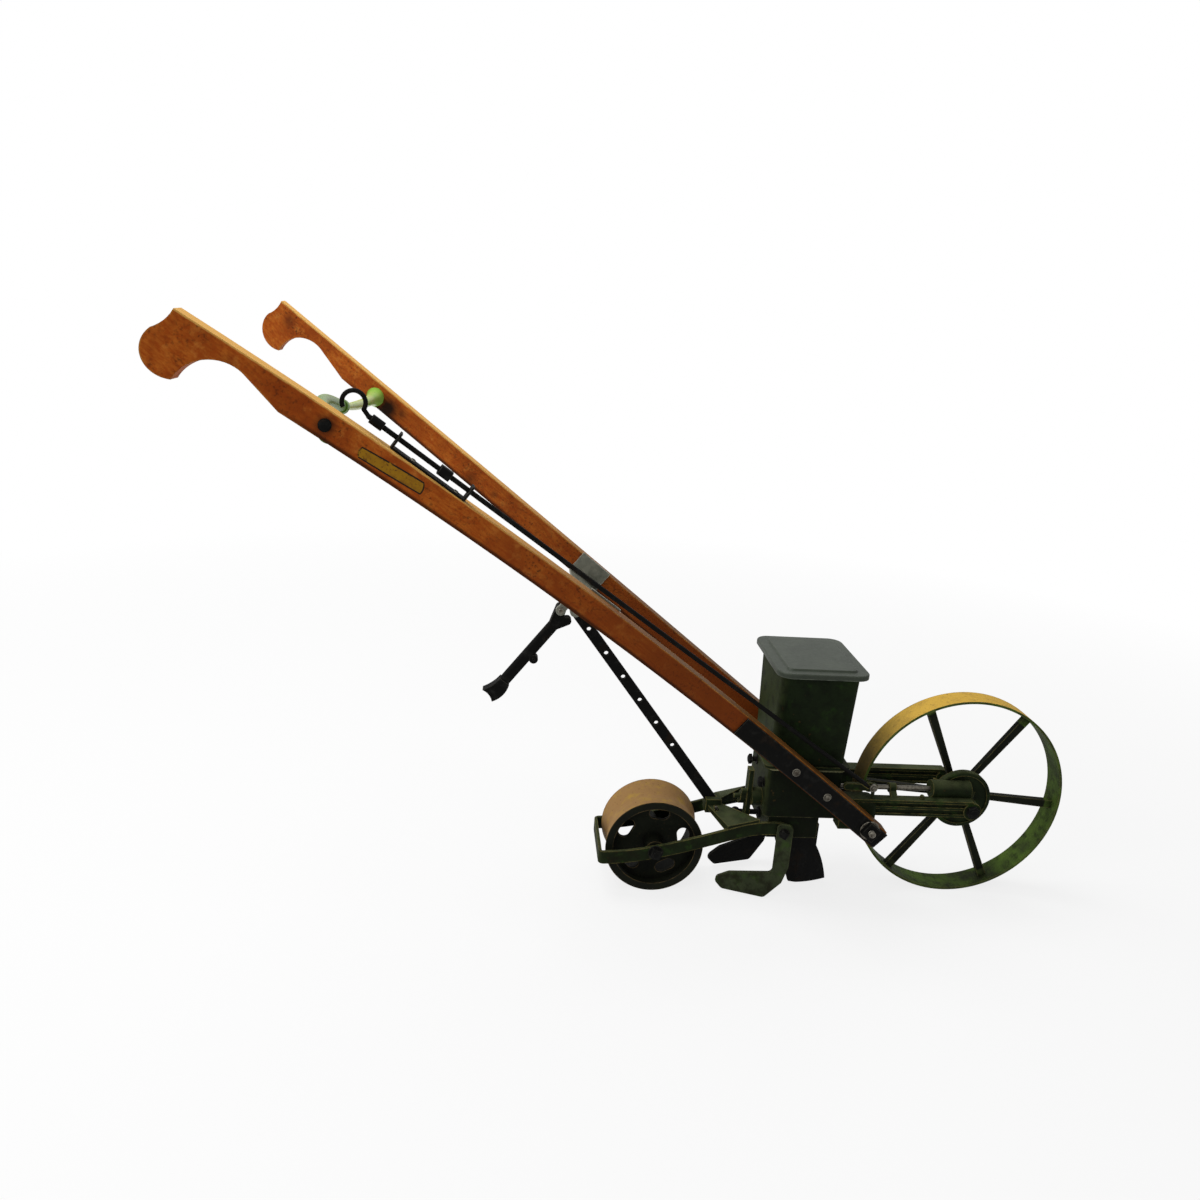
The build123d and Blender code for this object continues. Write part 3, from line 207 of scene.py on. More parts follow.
def varnished_ash():
    """Bent ash under worn varnish: orange brown, streaked along the bend, pale on the top edge as bare wood
    and a painted highlight.
    """
    material, tree, where = new_finish("varnished_ash")
    grain_size = np.array([95.0, 4.0, 4.0]) * MM
    along = add(tree, "Mapping", {"Vector": where, "Rotation": (0, -HANDLE_TILT, 0)})
    grain_place = add(tree, "Mapping", {"Vector": along, "Scale": tuple(1 / grain_size)})
    grain = add(tree, "TexNoise", {"Vector": grain_place, "Scale": 1.0, "Detail": 6.0, "Roughness": 0.65})
    streak = add(tree, "MapRange", {"Value": grain, "From Min": 0.4, "From Max": 0.62})
    x_part = add(tree, "SeparateXYZ", {"Vector": where})
    z_part = x_part.node.outputs["Z"]
    bend = add(tree, "Math", {0: x_part, 1: EDGE_TERMS[2], 2: EDGE_TERMS[1]}, operation="MULTIPLY_ADD")
    edge_z = add(tree, "Math", {0: bend, 1: x_part, 2: EDGE_TERMS[0]}, operation="MULTIPLY_ADD")
    below = add(tree, "Math", {0: edge_z, 1: z_part}, operation="SUBTRACT")
    ragged = add(tree, "Math", {0: grain, 1: 5 * MM, 2: below}, operation="MULTIPLY_ADD")
    # The pale top band: bare wood where the varnish is worn, and a painted highlight on the top edge.
    bare_and_lit_top = add(tree, "MapRange", {"Value": ragged, "From Min": 5.5 * MM, "From Max": 3.2 * MM})
    upper_half = add(tree, "MapRange", {"Value": x_part, "From Min": PALE_TOP_FROM[0] * MM,
                                        "From Max": PALE_TOP_FROM[1] * MM, "To Min": 0.1})
    worn_and_lit_edge = add(tree, "Math", {0: bare_and_lit_top, 1: upper_half}, operation="MULTIPLY")
    dark_foot = add(tree, "MapRange", {"Value": ragged, "From Min": (HANDLE_DROP - 5) * MM,
                                       "From Max": (HANDLE_DROP - 1) * MM, "To Max": 0.85})
    off_grip = add(tree, "MapRange", {"Value": x_part, "From Min": FOOT_FROM[0] * MM,
                                      "From Max": FOOT_FROM[1] * MM})
    dark_edge = add(tree, "Math", {0: dark_foot, 1: off_grip}, operation="MULTIPLY")
    # The lower end is darker, and its top faces darker still.
    lower_end = add(tree, "MapRange", {"Value": x_part, "From Min": DARK_END_FROM[0] * MM,
                                       "From Max": DARK_END_FROM[1] * MM, "To Max": 0.85})
    looks_up = add(tree, "SeparateXYZ", {"Vector": where.node.outputs["Normal"]}, "Z")
    is_top = add(tree, "MapRange", {"Value": looks_up, "From Min": 0.5, "From Max": 0.75})
    dark_low_top = add(tree, "Math", {0: is_top, 1: lower_end}, operation="MULTIPLY")
    blotch = patches(tree, where, 70, 0.42, 0.68)
    speck = patches(tree, where, 4, 0.52, 0.66)
    speckled = patches(tree, where, 45, 0.4, 0.74)
    dark_spot = add(tree, "Math", {0: speck, 1: speckled}, operation="MULTIPLY")
    for place, radius, depth in DARK_SPOTS:
        centre = tuple(np.array(place) * MM)
        away = add(tree, "VectorMath", {0: where, 1: centre}, "Value", operation="DISTANCE")
        ring = add(tree, "Math", {0: grain, 1: 8 * MM, 2: away}, operation="MULTIPLY_ADD")
        spot = add(tree, "MapRange", {"Value": ring, "From Min": (radius + 6) * MM,
                                      "From Max": (radius * 0.4 + 2) * MM, "To Max": depth})
        dark_spot = add(tree, "Math", {0: dark_spot, 1: spot}, operation="MAXIMUM")
    colour = layers(
        tree, linear("#994510"),
        (streak, linear("#B05F1E")),
        (blotch, linear("#853A0E")),
        (patches(tree, where, 20, 0.56, 0.8), linear("#BC7430")),
        (lower_end, linear("#622C0B")),
        (dark_low_top, linear("#3A1D0B")),
        # Pale outer edges: rubbed varnish and a painted highlight
        (worn_and_highlit_edges(tree, where, 2.0, 14), linear("#A8702F")),
        (dark_edge, linear("#2A1207")),
        (dark_spot, linear("#1B120B")),
        (worn_and_lit_edge, linear("#D2A052")),
    )
    rough = add(tree, "MapRange", {"Value": grain, "From Min": 0.3, "From Max": 0.7, "To Min": 0.5,
                                   "To Max": 0.68})
    soft_edge = add(tree, "Bevel", {"Radius": 1.6 * MM}, samples=4)
    bump = add(tree, "Bump", {"Height": grain, "Strength": 0.35, "Distance": 0.4 * MM, "Normal": soft_edge})
    shade(tree, Base_Color=colour, Roughness=rough, IOR=1.5, Specular_IOR_Level=0.06, Normal=bump)
    return material


ash = varnished_ash()
print("top edge terms:", EDGE_TERMS.round(4))

# %% [markdown]
# The ironwork is forged bar under thin black paint. Handling polishes it to grey on the high spots and
# edges, and damp brings up brown bloom, so three colours are mixed by noise of different sizes, and a
# fine bump gives the hammered skin that keeps highlights broken. The grey on the edges is also a painted
# highlight. Axles, pins and the straps' bolts are bare steel, bright where a spanner has rubbed them and
# where a painted highlight lies on their edges.

# %% Black iron and bare steel
def black_iron():
    """Forged iron under thin black paint: near black, broken by grey rub marks, paler on edges as a painted
    highlight too, and brown bloom.
    """
    material, tree, where = new_finish("painted_forged_iron")
    skin, bump = skin_bump(tree, where, 3, 0.25)
    colour = layers(
        tree, linear("#0A0A09"),
        (patches(tree, where, 14, 0.55, 0.78), linear("#20201E")),
        (patches(tree, where, 30, 0.58, 0.8), linear("#20160D")),
        # Grey outer edges: rubbed paint and a painted highlight
        (worn_and_highlit_edges(tree, where, 1.4, 8), linear("#3C3A34")),
    )
    rough = add(tree, "MapRange", {"Value": skin, "To Min": 0.52, "To Max": 0.82})
    shade(tree, Base_Color=colour, Roughness=rough, IOR=1.5, Specular_IOR_Level=0.06, Normal=bump)
    return material


def bare_steel():
    """Turned mild steel gone dull under old oil: grey metal with darker oily films."""
    material, tree, where = new_finish("bare_steel")
    skin, bump = skin_bump(tree, where, 2.5, 0.15)
    colour = layers(
        tree, linear("#6A665C"),
        (patches(tree, where, 8, 0.4, 0.66), linear("#332D25")),
        # Painted shade in inner corners, then pale edges of rubbed metal and painted highlight
        (painted_corner_shade(tree, where, 3), linear("#171410")),
        (worn_and_highlit_edges(tree, where, 1.0, 5), linear("#A8A395")),
    )
    rough = add(tree, "MapRange", {"Value": skin, "To Min": 0.34, "To Max": 0.62})
    shade(tree, Base_Color=colour, Roughness=rough, Metallic=0.8, Normal=bump)
    return material


iron = black_iron()
steel = bare_steel()
print("made", iron.name, "and", steel.name)

# %% [markdown]
# The castings and the hopper wear dark green enamel, brushed on, and painted lighter on the faces that
# look back, as painted light. Dust lies on faces that look up, the edges are rubbed to yellow brown and
# painted paler as a highlight, the inner corners carry painted shade, and soil has darkened what works
# near the ground. The same function makes each green, from the few colours that differ.

# %% Green enamels
def green_enamel(name, paint, faded, patch, edge, dusty, edge_reach):
    """Brushed enamel on iron: paint to faded in clouds, green patches, painted light on faces that look back,
    dust on top, edges rubbed through and painted pale as a highlight, painted shade in inner corners.
    """
    material, tree, where = new_finish(name)
    normal = where.node.outputs["Normal"]
    skin, bump = skin_bump(tree, where, 4, 0.3)
    smears = patches(tree, where, 18, 0.45, 0.8)
    looks_up = add(tree, "SeparateXYZ", {"Vector": normal}, "Z")
    dust = add(tree, "MapRange", {"Value": looks_up, "From Min": 0.3, "From Max": 1.0, "To Max": dusty})
    dusted = add(tree, "Math", {0: dust, 1: patches(tree, where, 35, 0.25, 0.6)}, operation="MULTIPLY")
    # Faces that look back are painted lighter: painted light from the rear.
    looks_back = add(tree, "SeparateXYZ", {"Vector": normal})
    painted_back_light = add(tree, "MapRange", {"Value": looks_back, "From Min": -0.4, "From Max": -1.0, "To Max": 0.55})
    height = add(tree, "SeparateXYZ", {"Vector": where}, "Z")
    soil = add(tree, "MapRange", {"Value": height, "From Min": 0.16, "From Max": 0.03, "To Max": 0.6})
    soiled = add(tree, "Math", {0: soil, 1: smears}, operation="MULTIPLY")
    colour = layers(
        tree, linear(paint),
        (patches(tree, where, 55, 0.35, 0.75), linear(faded)),
        (patches(tree, where, 22, 0.56, 0.72), linear(patch)),
        (painted_back_light, linear("#33391F")),
        (smears, linear("#0A0C07")),
        (patches(tree, where, 9, 0.68, 0.76), linear("#3A2E16")),
        (soiled, linear("#241E13")),
        (dusted, linear("#4C5136")),
        # Painted shade in inner corners, then pale edges of rubbed paint and painted highlight
        (painted_corner_shade(tree, where, 9), linear("#0B0C08")),
        (worn_and_highlit_edges(tree, where, edge_reach, 16), linear(edge)),
    )
    rough = add(tree, "MapRange", {"Value": skin, "To Min": 0.54, "To Max": 0.8})
    shade(tree, Base_Color=colour, Roughness=rough, IOR=1.5, Specular_IOR_Level=0.05, Normal=bump)
    return material


hopper_green = green_enamel("hopper_enamel", "#121A0C", "#1A2411", "#1D3010", "#4E4C2C", 0.5, 1.4)
body_green = green_enamel("body_enamel", "#0A0E06", "#11170B", "#14200B", "#57543A", 0.6, 1.6)
arm_green = green_enamel("arm_enamel", "#141B0D", "#202A15", "#243814", "#6A6238", 0.7, 1.8)
coverer_green = green_enamel("coverer_enamel", "#2C3222", "#3A412C", "#33451F", "#52543A", 0.5, 1.4)
print("greens:", [green.name for green in (hopper_green, body_green, arm_green, coverer_green)])

# %% [markdown]
# The lid is pressed sheet under grey green paint, smoother than the castings, because seed sacks and
# hands polish it. Its rim and the edge of its raised panel are rubbed paler, and painted paler as a highlight
# too.

# %% Lid enamel
def lid_enamel():
    """Pressed sheet under grey green enamel: faint clouds, a paler rim that is rubbed and painted as a
    highlight, a few dark scratches.
    """
    material, tree, where = new_finish("lid_enamel")
    skin, bump = skin_bump(tree, where, 6, 0.12)
    stroke_size = np.array([4.0, 40.0, 4.0]) * MM
    stroke_place = add(tree, "Mapping", {"Vector": where, "Scale": tuple(1 / stroke_size)})
    stroke = add(tree, "TexNoise", {"Vector": stroke_place, "Scale": 1.0, "Detail": 4.0})
    scratches = add(tree, "MapRange", {"Value": stroke, "From Min": 0.68, "From Max": 0.76, "To Max": 0.5})
    colour = layers(
        tree, linear("#333830"),
        (patches(tree, where, 45, 0.35, 0.75), linear("#3E443A")),
        (patches(tree, where, 12, 0.58, 0.85), linear("#484E44")),
        (scratches, linear("#272B23")),
        # Painted shade in inner corners, then pale edges of rubbed paint and painted highlight
        (painted_corner_shade(tree, where, 6), linear("#22261E")),
        (worn_and_highlit_edges(tree, where, 1.8, 25), linear("#6B7064")),
    )
    rough = add(tree, "MapRange", {"Value": skin, "To Min": 0.34, "To Max": 0.5})
    shade(tree, Base_Color=colour, Roughness=rough, IOR=1.5, Specular_IOR_Level=0.1, Normal=bump)
    return material


lid_paint = lid_enamel()
print("made", lid_paint.name)

# %% [markdown]
# The spreader's two horns were dipped in glossy light green enamel. It is darker on the right horn,
# vivid where the left one flares on to its handle, and handled pale along that horn's neck, so the
# shader mixes the colours by the distance across the drill.

# %% Spring green enamel
# Stretches of y, in millimetres, over which the pale neck starts and ends
NECK_START = (-5.0, 5.0)
NECK_END = (140.0, 195.0)


def spring_green_enamel():
    """Glossy light green enamel: dark on the right horn, rubbed to pale undercoat on the left horn's neck."""
    material, tree, where = new_finish("spring_green_enamel")
    y_part = add(tree, "SeparateXYZ", {"Vector": where}, "Y")
    right_horn = add(tree, "MapRange", {"Value": y_part, "From Min": 0.0, "From Max": -4 * MM, "To Max": 0.8})
    starts = add(tree, "MapRange", {"Value": y_part, "From Min": NECK_START[0] * MM,
                                    "From Max": NECK_START[1] * MM})
    ends = add(tree, "MapRange", {"Value": y_part, "From Min": NECK_END[1] * MM,
                                  "From Max": NECK_END[0] * MM})
    neck = add(tree, "Math", {0: starts, 1: ends}, operation="MULTIPLY")
    rubbed = add(tree, "Math", {0: neck, 1: patches(tree, where, 30, 0.2, 0.55)}, operation="MULTIPLY")
    marks = patches(tree, where, 6, 0.66, 0.76)
    colour = layers(
        tree, linear("#78AC3A"),
        (patches(tree, where, 25, 0.45, 0.75), linear("#94C654")),
        (right_horn, linear("#47611C")),
        (rubbed, linear("#A9B46E")),
        (marks, linear("#3E4A26")),
        # Painted shade in inner corners
        (painted_corner_shade(tree, where, 5), linear("#2E3A1A")),
    )
    bump = add(tree, "Bump", {"Height": rubbed, "Strength": 0.2, "Distance": 0.3 * MM})
    shade(tree, Base_Color=colour, Roughness=0.3, IOR=1.5, Specular_IOR_Level=0.35, Normal=bump)
    return material


horn_green = spring_green_enamel()
print("made", horn_green.name)

# %% [markdown]
# The wheels carry two finishes on one casting. The front rim is ochre on its tread, brightest at the
# top and grey brown elsewhere, where worn paint and painted shade lie together, and green to black
# inside. Rather than paint by hand, the shader measures whether a face looks away from the axle or
# towards it, and picks the finish from that. The roller's tread is bare iron gone tan, darker from its
# upper side down in the same way, and its web keeps dark paint.

# %% Wheel finishes
# The wheels' plane, the side where the tread is painted brightest, as if lit from above, and the rim's depth
# in millimetres
WHEEL_PLANE = (1.0, 0.0, 1.0)
LIT_SIDE = (0.35, 0.0, 0.94)
RIM_DEPTH = 15.0
RIM_BLUR = 3.0


def wheel_finish(name, axle, tread, tread_shaded_wear, shaded_wear_span, inner, inner_fade, web, edge):
    """Wheel paint: tread colours where a rim's faces look away from the axle, which stands as high as the
    tread's radius, turning darker away from the lit side as worn paint and painted shade, inner colours on
    the rim's other faces, and web colours elsewhere."""
    material, tree, where = new_finish(name)
    tread_radius = axle.z
    normal = where.node.outputs["Normal"]
    skin, bump = skin_bump(tree, where, 4, 0.35)
    from_axle = add(tree, "VectorMath", {0: where, 1: tuple(axle)}, operation="SUBTRACT")
    across = add(tree, "VectorMath", {0: from_axle, 1: WHEEL_PLANE}, operation="MULTIPLY")
    radius = add(tree, "VectorMath", {0: across}, "Value", operation="LENGTH")
    outwards = add(tree, "VectorMath", {0: across}, operation="NORMALIZE")
    facing = add(tree, "VectorMath", {0: outwards, 1: normal}, "Value", operation="DOT_PRODUCT")
    is_rim = add(tree, "MapRange", {"Value": radius, "From Min": tread_radius - (RIM_DEPTH + RIM_BLUR) * MM,
                                    "From Max": tread_radius - RIM_DEPTH * MM})
    on_tread = add(tree, "MapRange", {"Value": facing, "From Min": 0.35, "From Max": 0.6})
    tread_share = add(tree, "Math", {0: is_rim, 1: on_tread}, operation="MULTIPLY")
    # Away from the lit side the tread is painted darker: worn paint and painted shade together.
    rise = add(tree, "VectorMath", {0: from_axle, 1: LIT_SIDE}, "Value", operation="DOT_PRODUCT")
    clouds = patches(tree, where, 55, 0.35, 0.7)
    cloudy_rise = add(tree, "Math", {0: clouds, 1: 0.2 * tread_radius, 2: rise}, operation="MULTIPLY_ADD")
    dull = add(tree, "MapRange", {"Value": cloudy_rise, "From Min": shaded_wear_span[1] * tread_radius,
                                  "From Max": shaded_wear_span[0] * tread_radius})
    smears = patches(tree, where, 16, 0.5, 0.75)
    pits = patches(tree, where, 5, 0.6, 0.75)
    tread_colour = layers(
        tree, linear(tread),
        (smears, linear("#A98840")),
        (dull, linear(tread_shaded_wear)),
        (pits, linear("#5B4A2C")),
    )
    rim_colour = layers(tree, linear(inner), (clouds, linear(inner_fade)), (smears, linear("#181B10")))
    web_colour = layers(tree, linear(web), (clouds, linear("#191C13")), (pits, linear("#2A2418")))
    inside = layers(tree, web_colour, (is_rim, rim_colour))
    colour = layers(
        tree, inside,
        (tread_share, tread_colour),
        # Painted shade in inner corners, then pale edges of rubbed paint and painted highlight
        (painted_corner_shade(tree, where, 10), linear("#0B0B08")),
        (worn_and_highlit_edges(tree, where, 1.6, 20), linear(edge)),
    )
    rough = add(tree, "MapRange", {"Value": skin, "To Min": 0.55, "To Max": 0.8})
    shade(tree, Base_Color=colour, Roughness=rough, IOR=1.5, Specular_IOR_Level=0.06, Normal=bump)
    return material


front_hub = joint_at["front_wheel_spin"]
roller_hub = joint_at["press_roller_spin"]
rim_paint = wheel_finish("ochre_rim_paint", front_hub, "#C6A044", "#564C2C", (-0.1, 0.75), "#2A301C",
                         "#4C6424", "#0A0C07", "#5F5A38")
roller_paint = wheel_finish("weathered_roller_iron", roller_hub, "#977449", "#43392A", (-0.9, 0.1), "#10110C",
                            "#181A12", "#060705", "#5E4F34")
print("tread radii in m:", round(front_hub.z, 4), round(roller_hub.z, 4))

# %% [markdown]
# The middle brace is plain galvanised sheet, whose zinc shows as faint crystals. Voronoi cells give each
# crystal its own grey.

# %% Zinc sheet
def zinc_sheet():
    """Galvanised sheet gone dull: grey zinc crystals of about a centimetre, with dark smears."""
    material, tree, where = new_finish("zinc_sheet")
    crystal = add(tree, "TexVoronoi", {"Vector": where, "Scale": 1 / (11 * MM)}, "Color")
    tone = add(tree, "SeparateXYZ", {"Vector": crystal})
    colour = layers(
        tree, linear("#66675B"),
        (tone, linear("#7B7B6E")),
        (patches(tree, where, 30, 0.45, 0.75), linear("#4A4C42")),
        # Painted shade in inner corners, then pale edges of rubbed zinc and painted highlight
        (painted_corner_shade(tree, where, 8), linear("#24251F")),
        (worn_and_highlit_edges(tree, where, 1.4, 12), linear("#A5A598")),
    )
    rough = add(tree, "MapRange", {"Value": tone, "To Min": 0.42, "To Max": 0.6})
    shade(tree, Base_Color=colour, Roughness=rough, Metallic=0.3)
    return material


zinc = zinc_sheet()
print("made", zinc.name)

# %% [markdown]
# Every CAD node gets its finish from one table, by the name of the node.

# %% Dress the CAD nodes
DRESS = {
    ash: ("handle_right", "handle_left"),
    iron: ("handle_strap_right", "handle_strap_left", "pivot_bolt_right", "pivot_bolt_left", "rest_leg",
           "brace_bar", "tie_link", "opener_shoe", "coverer_left", "control_rod", "rod_sleeve", "rod_collar",
           "rod_guide"),
    steel: ("lid_hinge_pin", "front_axle", "drive_shaft", "leg_pin", "bar_pins", "roller_axle"),
    hopper_green: ("hopper",),
    body_green: ("body_casting",),
    arm_green: ("fork_arm_right", "fork_arm_left", "gear_case", "saddle", "roller_yoke", "gate_boss",
                "gate_bar", "gate_nut", "feed_lever"),
    coverer_green: ("coverer_right",),
    lid_paint: ("hopper_lid",),
    horn_green: ("spreader_horn_right", "spreader_horn_left", "spreader_sleeve"),
    zinc: ("middle_brace",),
    rim_paint: ("front_wheel",),
    roller_paint: ("press_roller",),
}
for finish, names in DRESS.items():
    for name in names:
        nodes[name].data.materials.clear()
        nodes[name].data.materials.append(finish)
undressed = set(nodes) - {name for names in DRESS.values() for name in names}
print("nodes without a finish:", sorted(undressed))

# %% [markdown]
# The small hardware is all turned or pressed, so one surface serves it: a profile of radius and height
# turned about an axis. A bolt head could be a primitive with a bevel, but a profile gives the dome, the
# washer under it and the chamfer of a nut in one go. Each piece is placed by a ray that finds the face
# it sits on, so it stays seated if the CAD model changes.

# %% Surface helpers
NEAR = -1
FAR = 1
SIDES = ((NEAR, "right"), (FAR, "left"))
# A ray starts this far to the side, in millimetres, clear of the drill
CLEAR_Y = 400.0
LEFTWARDS = (0.0, 1.0, 0.0)
DOWN = (0.0, 0.0, -1.0)
FULL_TURN = 2 * np.pi
seen_faces = {}


def seat(node, start, direction):
    """Where a ray from a start, in millimetres, first meets a CAD node: (place in mm, outward normal)."""
    if node not in seen_faces:
        mesh = nodes[node].data
        corners = [vertex.co for vertex in mesh.vertices]
        seen_faces[node] = BVHTree.FromPolygons(corners, [face.vertices for face in mesh.polygons])
    place, normal = seen_faces[node].ray_cast(Vector(start) * MM, Vector(direction))[:2]
    return np.array(place) / MM, np.array(normal)


def turned(profile, place, axis, sides=32, flats=0, flat_turn=0.0, pitch=0.0, thread=0.0):
    """A profile of (radius, height) rows turned about an axis: place + height * axis, and across the axis
    radius * (cos a, sin a). With flats, a row marked 1 follows a regular polygon, radius / cos(angle from the
    flat's middle). With a pitch, the radius also waves by the thread's depth along a helix,
    cos(turn * height / pitch - a)."""
    rows = np.array([(row + (0,))[:3] for row in profile], float)
    along = np.array(axis, float) / np.linalg.norm(axis)
    side_on = np.cross(along, (0.0, 0.0, 1.0) if abs(along[2]) < 0.9 else (1.0, 0.0, 0.0))
    side_on /= np.linalg.norm(side_on)
    third = np.cross(along, side_on)
    angle = np.linspace(0, FULL_TURN, sides + 1)
    radius = rows[:, :1] * np.ones_like(angle)
    if flats:
        step = FULL_TURN / flats
        from_middle = (angle % step) - step / 2
        radius = np.where(rows[:, 2:] > 0, radius / np.cos(from_middle), radius)
    if pitch:
        wave = np.cos(FULL_TURN * rows[:, 1:2] / pitch - angle)
        radius = np.where(radius > 0, radius + thread * wave, 0.0)
    turn_angle = angle + flat_turn
    spokes = np.cos(turn_angle)[:, None] * side_on + np.sin(turn_angle)[:, None] * third
    return np.array(place) + rows[:, 1, None, None] * along + radius[..., None] * spokes


def round_bead(middle, half_sizes, corner, bead, arc_steps=8, bead_steps=12):
    """A round bead carried along a rounded rectangle: each corner is an arc about its own centre, and the
    bead is a circle in the plane of the path's outward normal and the vertical."""
    quarter = np.linspace(0, np.pi / 2, arc_steps)
    angle = (quarter + np.arange(4)[:, None] * np.pi / 2).ravel()
    sign_x = np.repeat([1, -1, -1, 1], arc_steps)
    sign_y = np.repeat([1, 1, -1, -1], arc_steps)
    outward = np.stack([np.cos(angle), np.sin(angle), np.zeros_like(angle)], -1)
    centre = np.stack([sign_x * (half_sizes[0] - corner), sign_y * (half_sizes[1] - corner),
                       np.zeros_like(angle)], -1)
    path = np.array(middle) + centre + corner * outward
    path, outward = (np.concatenate([part, part[:1]]) for part in (path, outward))
    around = np.linspace(0, FULL_TURN, bead_steps + 1)
    up = np.array([0.0, 0.0, 1.0])
    return path[:, None] + bead * (np.cos(around)[:, None] * outward[:, None] + np.sin(around)[:, None] * up)


print("rays can look at", len(nodes), "nodes")

# %% [markdown]
# A grid of points becomes a mesh by joining each point with its neighbours. Seams and poles are points
# that fall on each other, so merging doubles closes them, and recalculating the normals makes every
# closed shell face outwards.

# %% Grids to pieces
# Points this close, in millimetres, become one, and an edge this sharp, in degrees, isn't smoothed
MERGE_GAP = 0.002
SHARP_EDGE = 32


def make_piece(name, grids, finish, body):
    """One object from grids of points in millimetres: each quad joins the points (i, j), (i, j+1),
    (i+1, j+1) and (i+1, j), and points closer than the merging gap become one."""
    points = np.concatenate([grid.reshape(-1, 3) for grid in grids]) * MM
    quads = []
    first = 0
    for grid in grids:
        index = first + np.arange(grid.shape[0] * grid.shape[1]).reshape(grid.shape[:2])
        ring = np.stack([index[:-1, :-1], index[:-1, 1:], index[1:, 1:], index[1:, :-1]], -1)
        quads.append(ring.reshape(-1, 4))
        first += index.size
    mesh = bpy.data.meshes.new(name)
    mesh.from_pydata(points.tolist(), [], np.concatenate(quads).tolist())
    shape = bmesh.new()
    shape.from_mesh(mesh)
    bmesh.ops.remove_doubles(shape, verts=shape.verts, dist=MERGE_GAP * MM)
    bmesh.ops.recalc_face_normals(shape, faces=shape.faces)
    shape.to_mesh(mesh)
    shape.free()
    mesh.shade_smooth()
    mesh.set_sharp_from_angle(angle=np.radians(SHARP_EDGE))
    mesh.materials.append(finish)
    piece = bpy.data.objects.new(name, mesh)
    bpy.context.scene.collection.objects.link(piece)
    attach(piece, body)
    print(name, "faces:", len(mesh.polygons))
    return piece


# %% [markdown]
# Bolts hold the iron straps to the handles, with bright domed heads on washers. A larger blackened dome
# on each handle is the end of the bolt that holds the spreader's horn.

# %% Handle bolts
STRAP_BOLTS = ((199.0, 252.6), (254.6, 210.8))
SPREADER_BOLT = (-496.0, 765.6)
strap_head = ((0, -0.6), (6.6, -0.6), (6.6, 0.6), (6.2, 1.0), (5.0, 1.0), (5.0, 1.8), (4.6, 3.0), (3.4, 4.0),
              (1.8, 4.5), (0, 4.6))
spreader_head = ((0, -0.8), (8.6, -0.8), (8.6, 0.6), (8.1, 1.8), (6.8, 3.2), (4.6, 4.2), (2.4, 4.7), (0, 4.9))
strap_heads = []
spreader_heads = []
for side, suffix in SIDES:
    inwards = (0.0, -side, 0.0)
    for x, z in STRAP_BOLTS:
        place, outward = seat("handle_strap_" + suffix, (x, side * CLEAR_Y, z), inwards)
        strap_heads.append(turned(strap_head, place, outward))
    start = (SPREADER_BOLT[0], side * CLEAR_Y, SPREADER_BOLT[1])
    place, outward = seat("handle_" + suffix, start, inwards)
    spreader_heads.append(turned(spreader_head, place, outward))
make_piece("strap_bolts", strap_heads, steel, "frame")
make_piece("spreader_bolts", spreader_heads, iron, "frame")

# %% [markdown]
# Each handle swings on a pivot bolt with a big square nut. The bolt's end stands out of the nut and is
# threaded, and a bright washer shows round the nut's flats. The thread is the turned surface again, with
# a radius that waves along a helix.

# %% Pivot bolt threads and washers
PIVOT_RADIUS = 5.0
THREAD_PITCH = 1.6
THREAD_DEPTH = 0.3
THREAD_FOOT = -6.0
THREAD_TOP = 0.6
THREAD_ROWS = 34
BESIDE_NUT = 12.0
WASHER_SINK = 0.4
pivot_washer = ((5.3, 0.0), (16.0, 0.0), (16.0, 1.4), (15.5, 1.8), (5.3, 1.8), (5.3, 0.0))
thread_heights = np.linspace(THREAD_FOOT, THREAD_TOP, THREAD_ROWS)
thread_rows = [(PIVOT_RADIUS + THREAD_DEPTH / 2, height) for height in thread_heights]
thread_profile = [(0, THREAD_FOOT), *thread_rows, (PIVOT_RADIUS - 0.9, 1.4), (0, 1.7)]
thread_grids = []
washer_grids = []
for side, suffix in SIDES:
    inwards = (0.0, -side, 0.0)
    bolt_low, bolt_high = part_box("pivot_bolt_" + suffix)
    bolt_x = (bolt_low.x + bolt_high.x) / 2 / MM
    bolt_z = (bolt_low.z + bolt_high.z) / 2 / MM
    end, outward = seat("pivot_bolt_" + suffix, (bolt_x, side * CLEAR_Y, bolt_z), inwards)
    thread_grids.append(turned(thread_profile, end, outward, sides=28, pitch=THREAD_PITCH,
                               thread=THREAD_DEPTH))
    strap = seat("handle_strap_" + suffix, (bolt_x - BESIDE_NUT, side * CLEAR_Y, bolt_z), inwards)[0]
    washer_foot = (bolt_x, strap[1] - side * WASHER_SINK, bolt_z)
    washer_grids.append(turned(pivot_washer, washer_foot, (0, side, 0)))
make_piece("pivot_bolt_threads", thread_grids, steel, "frame")
make_piece("pivot_washers", washer_grids, steel, "frame")

# %% [markdown]
# Nuts close the two axles. The front axle has low hexagon nuts on the fork arms' noses, and the roller's
# axle square nuts on broad washers, which keep the yoke's straps from wearing.

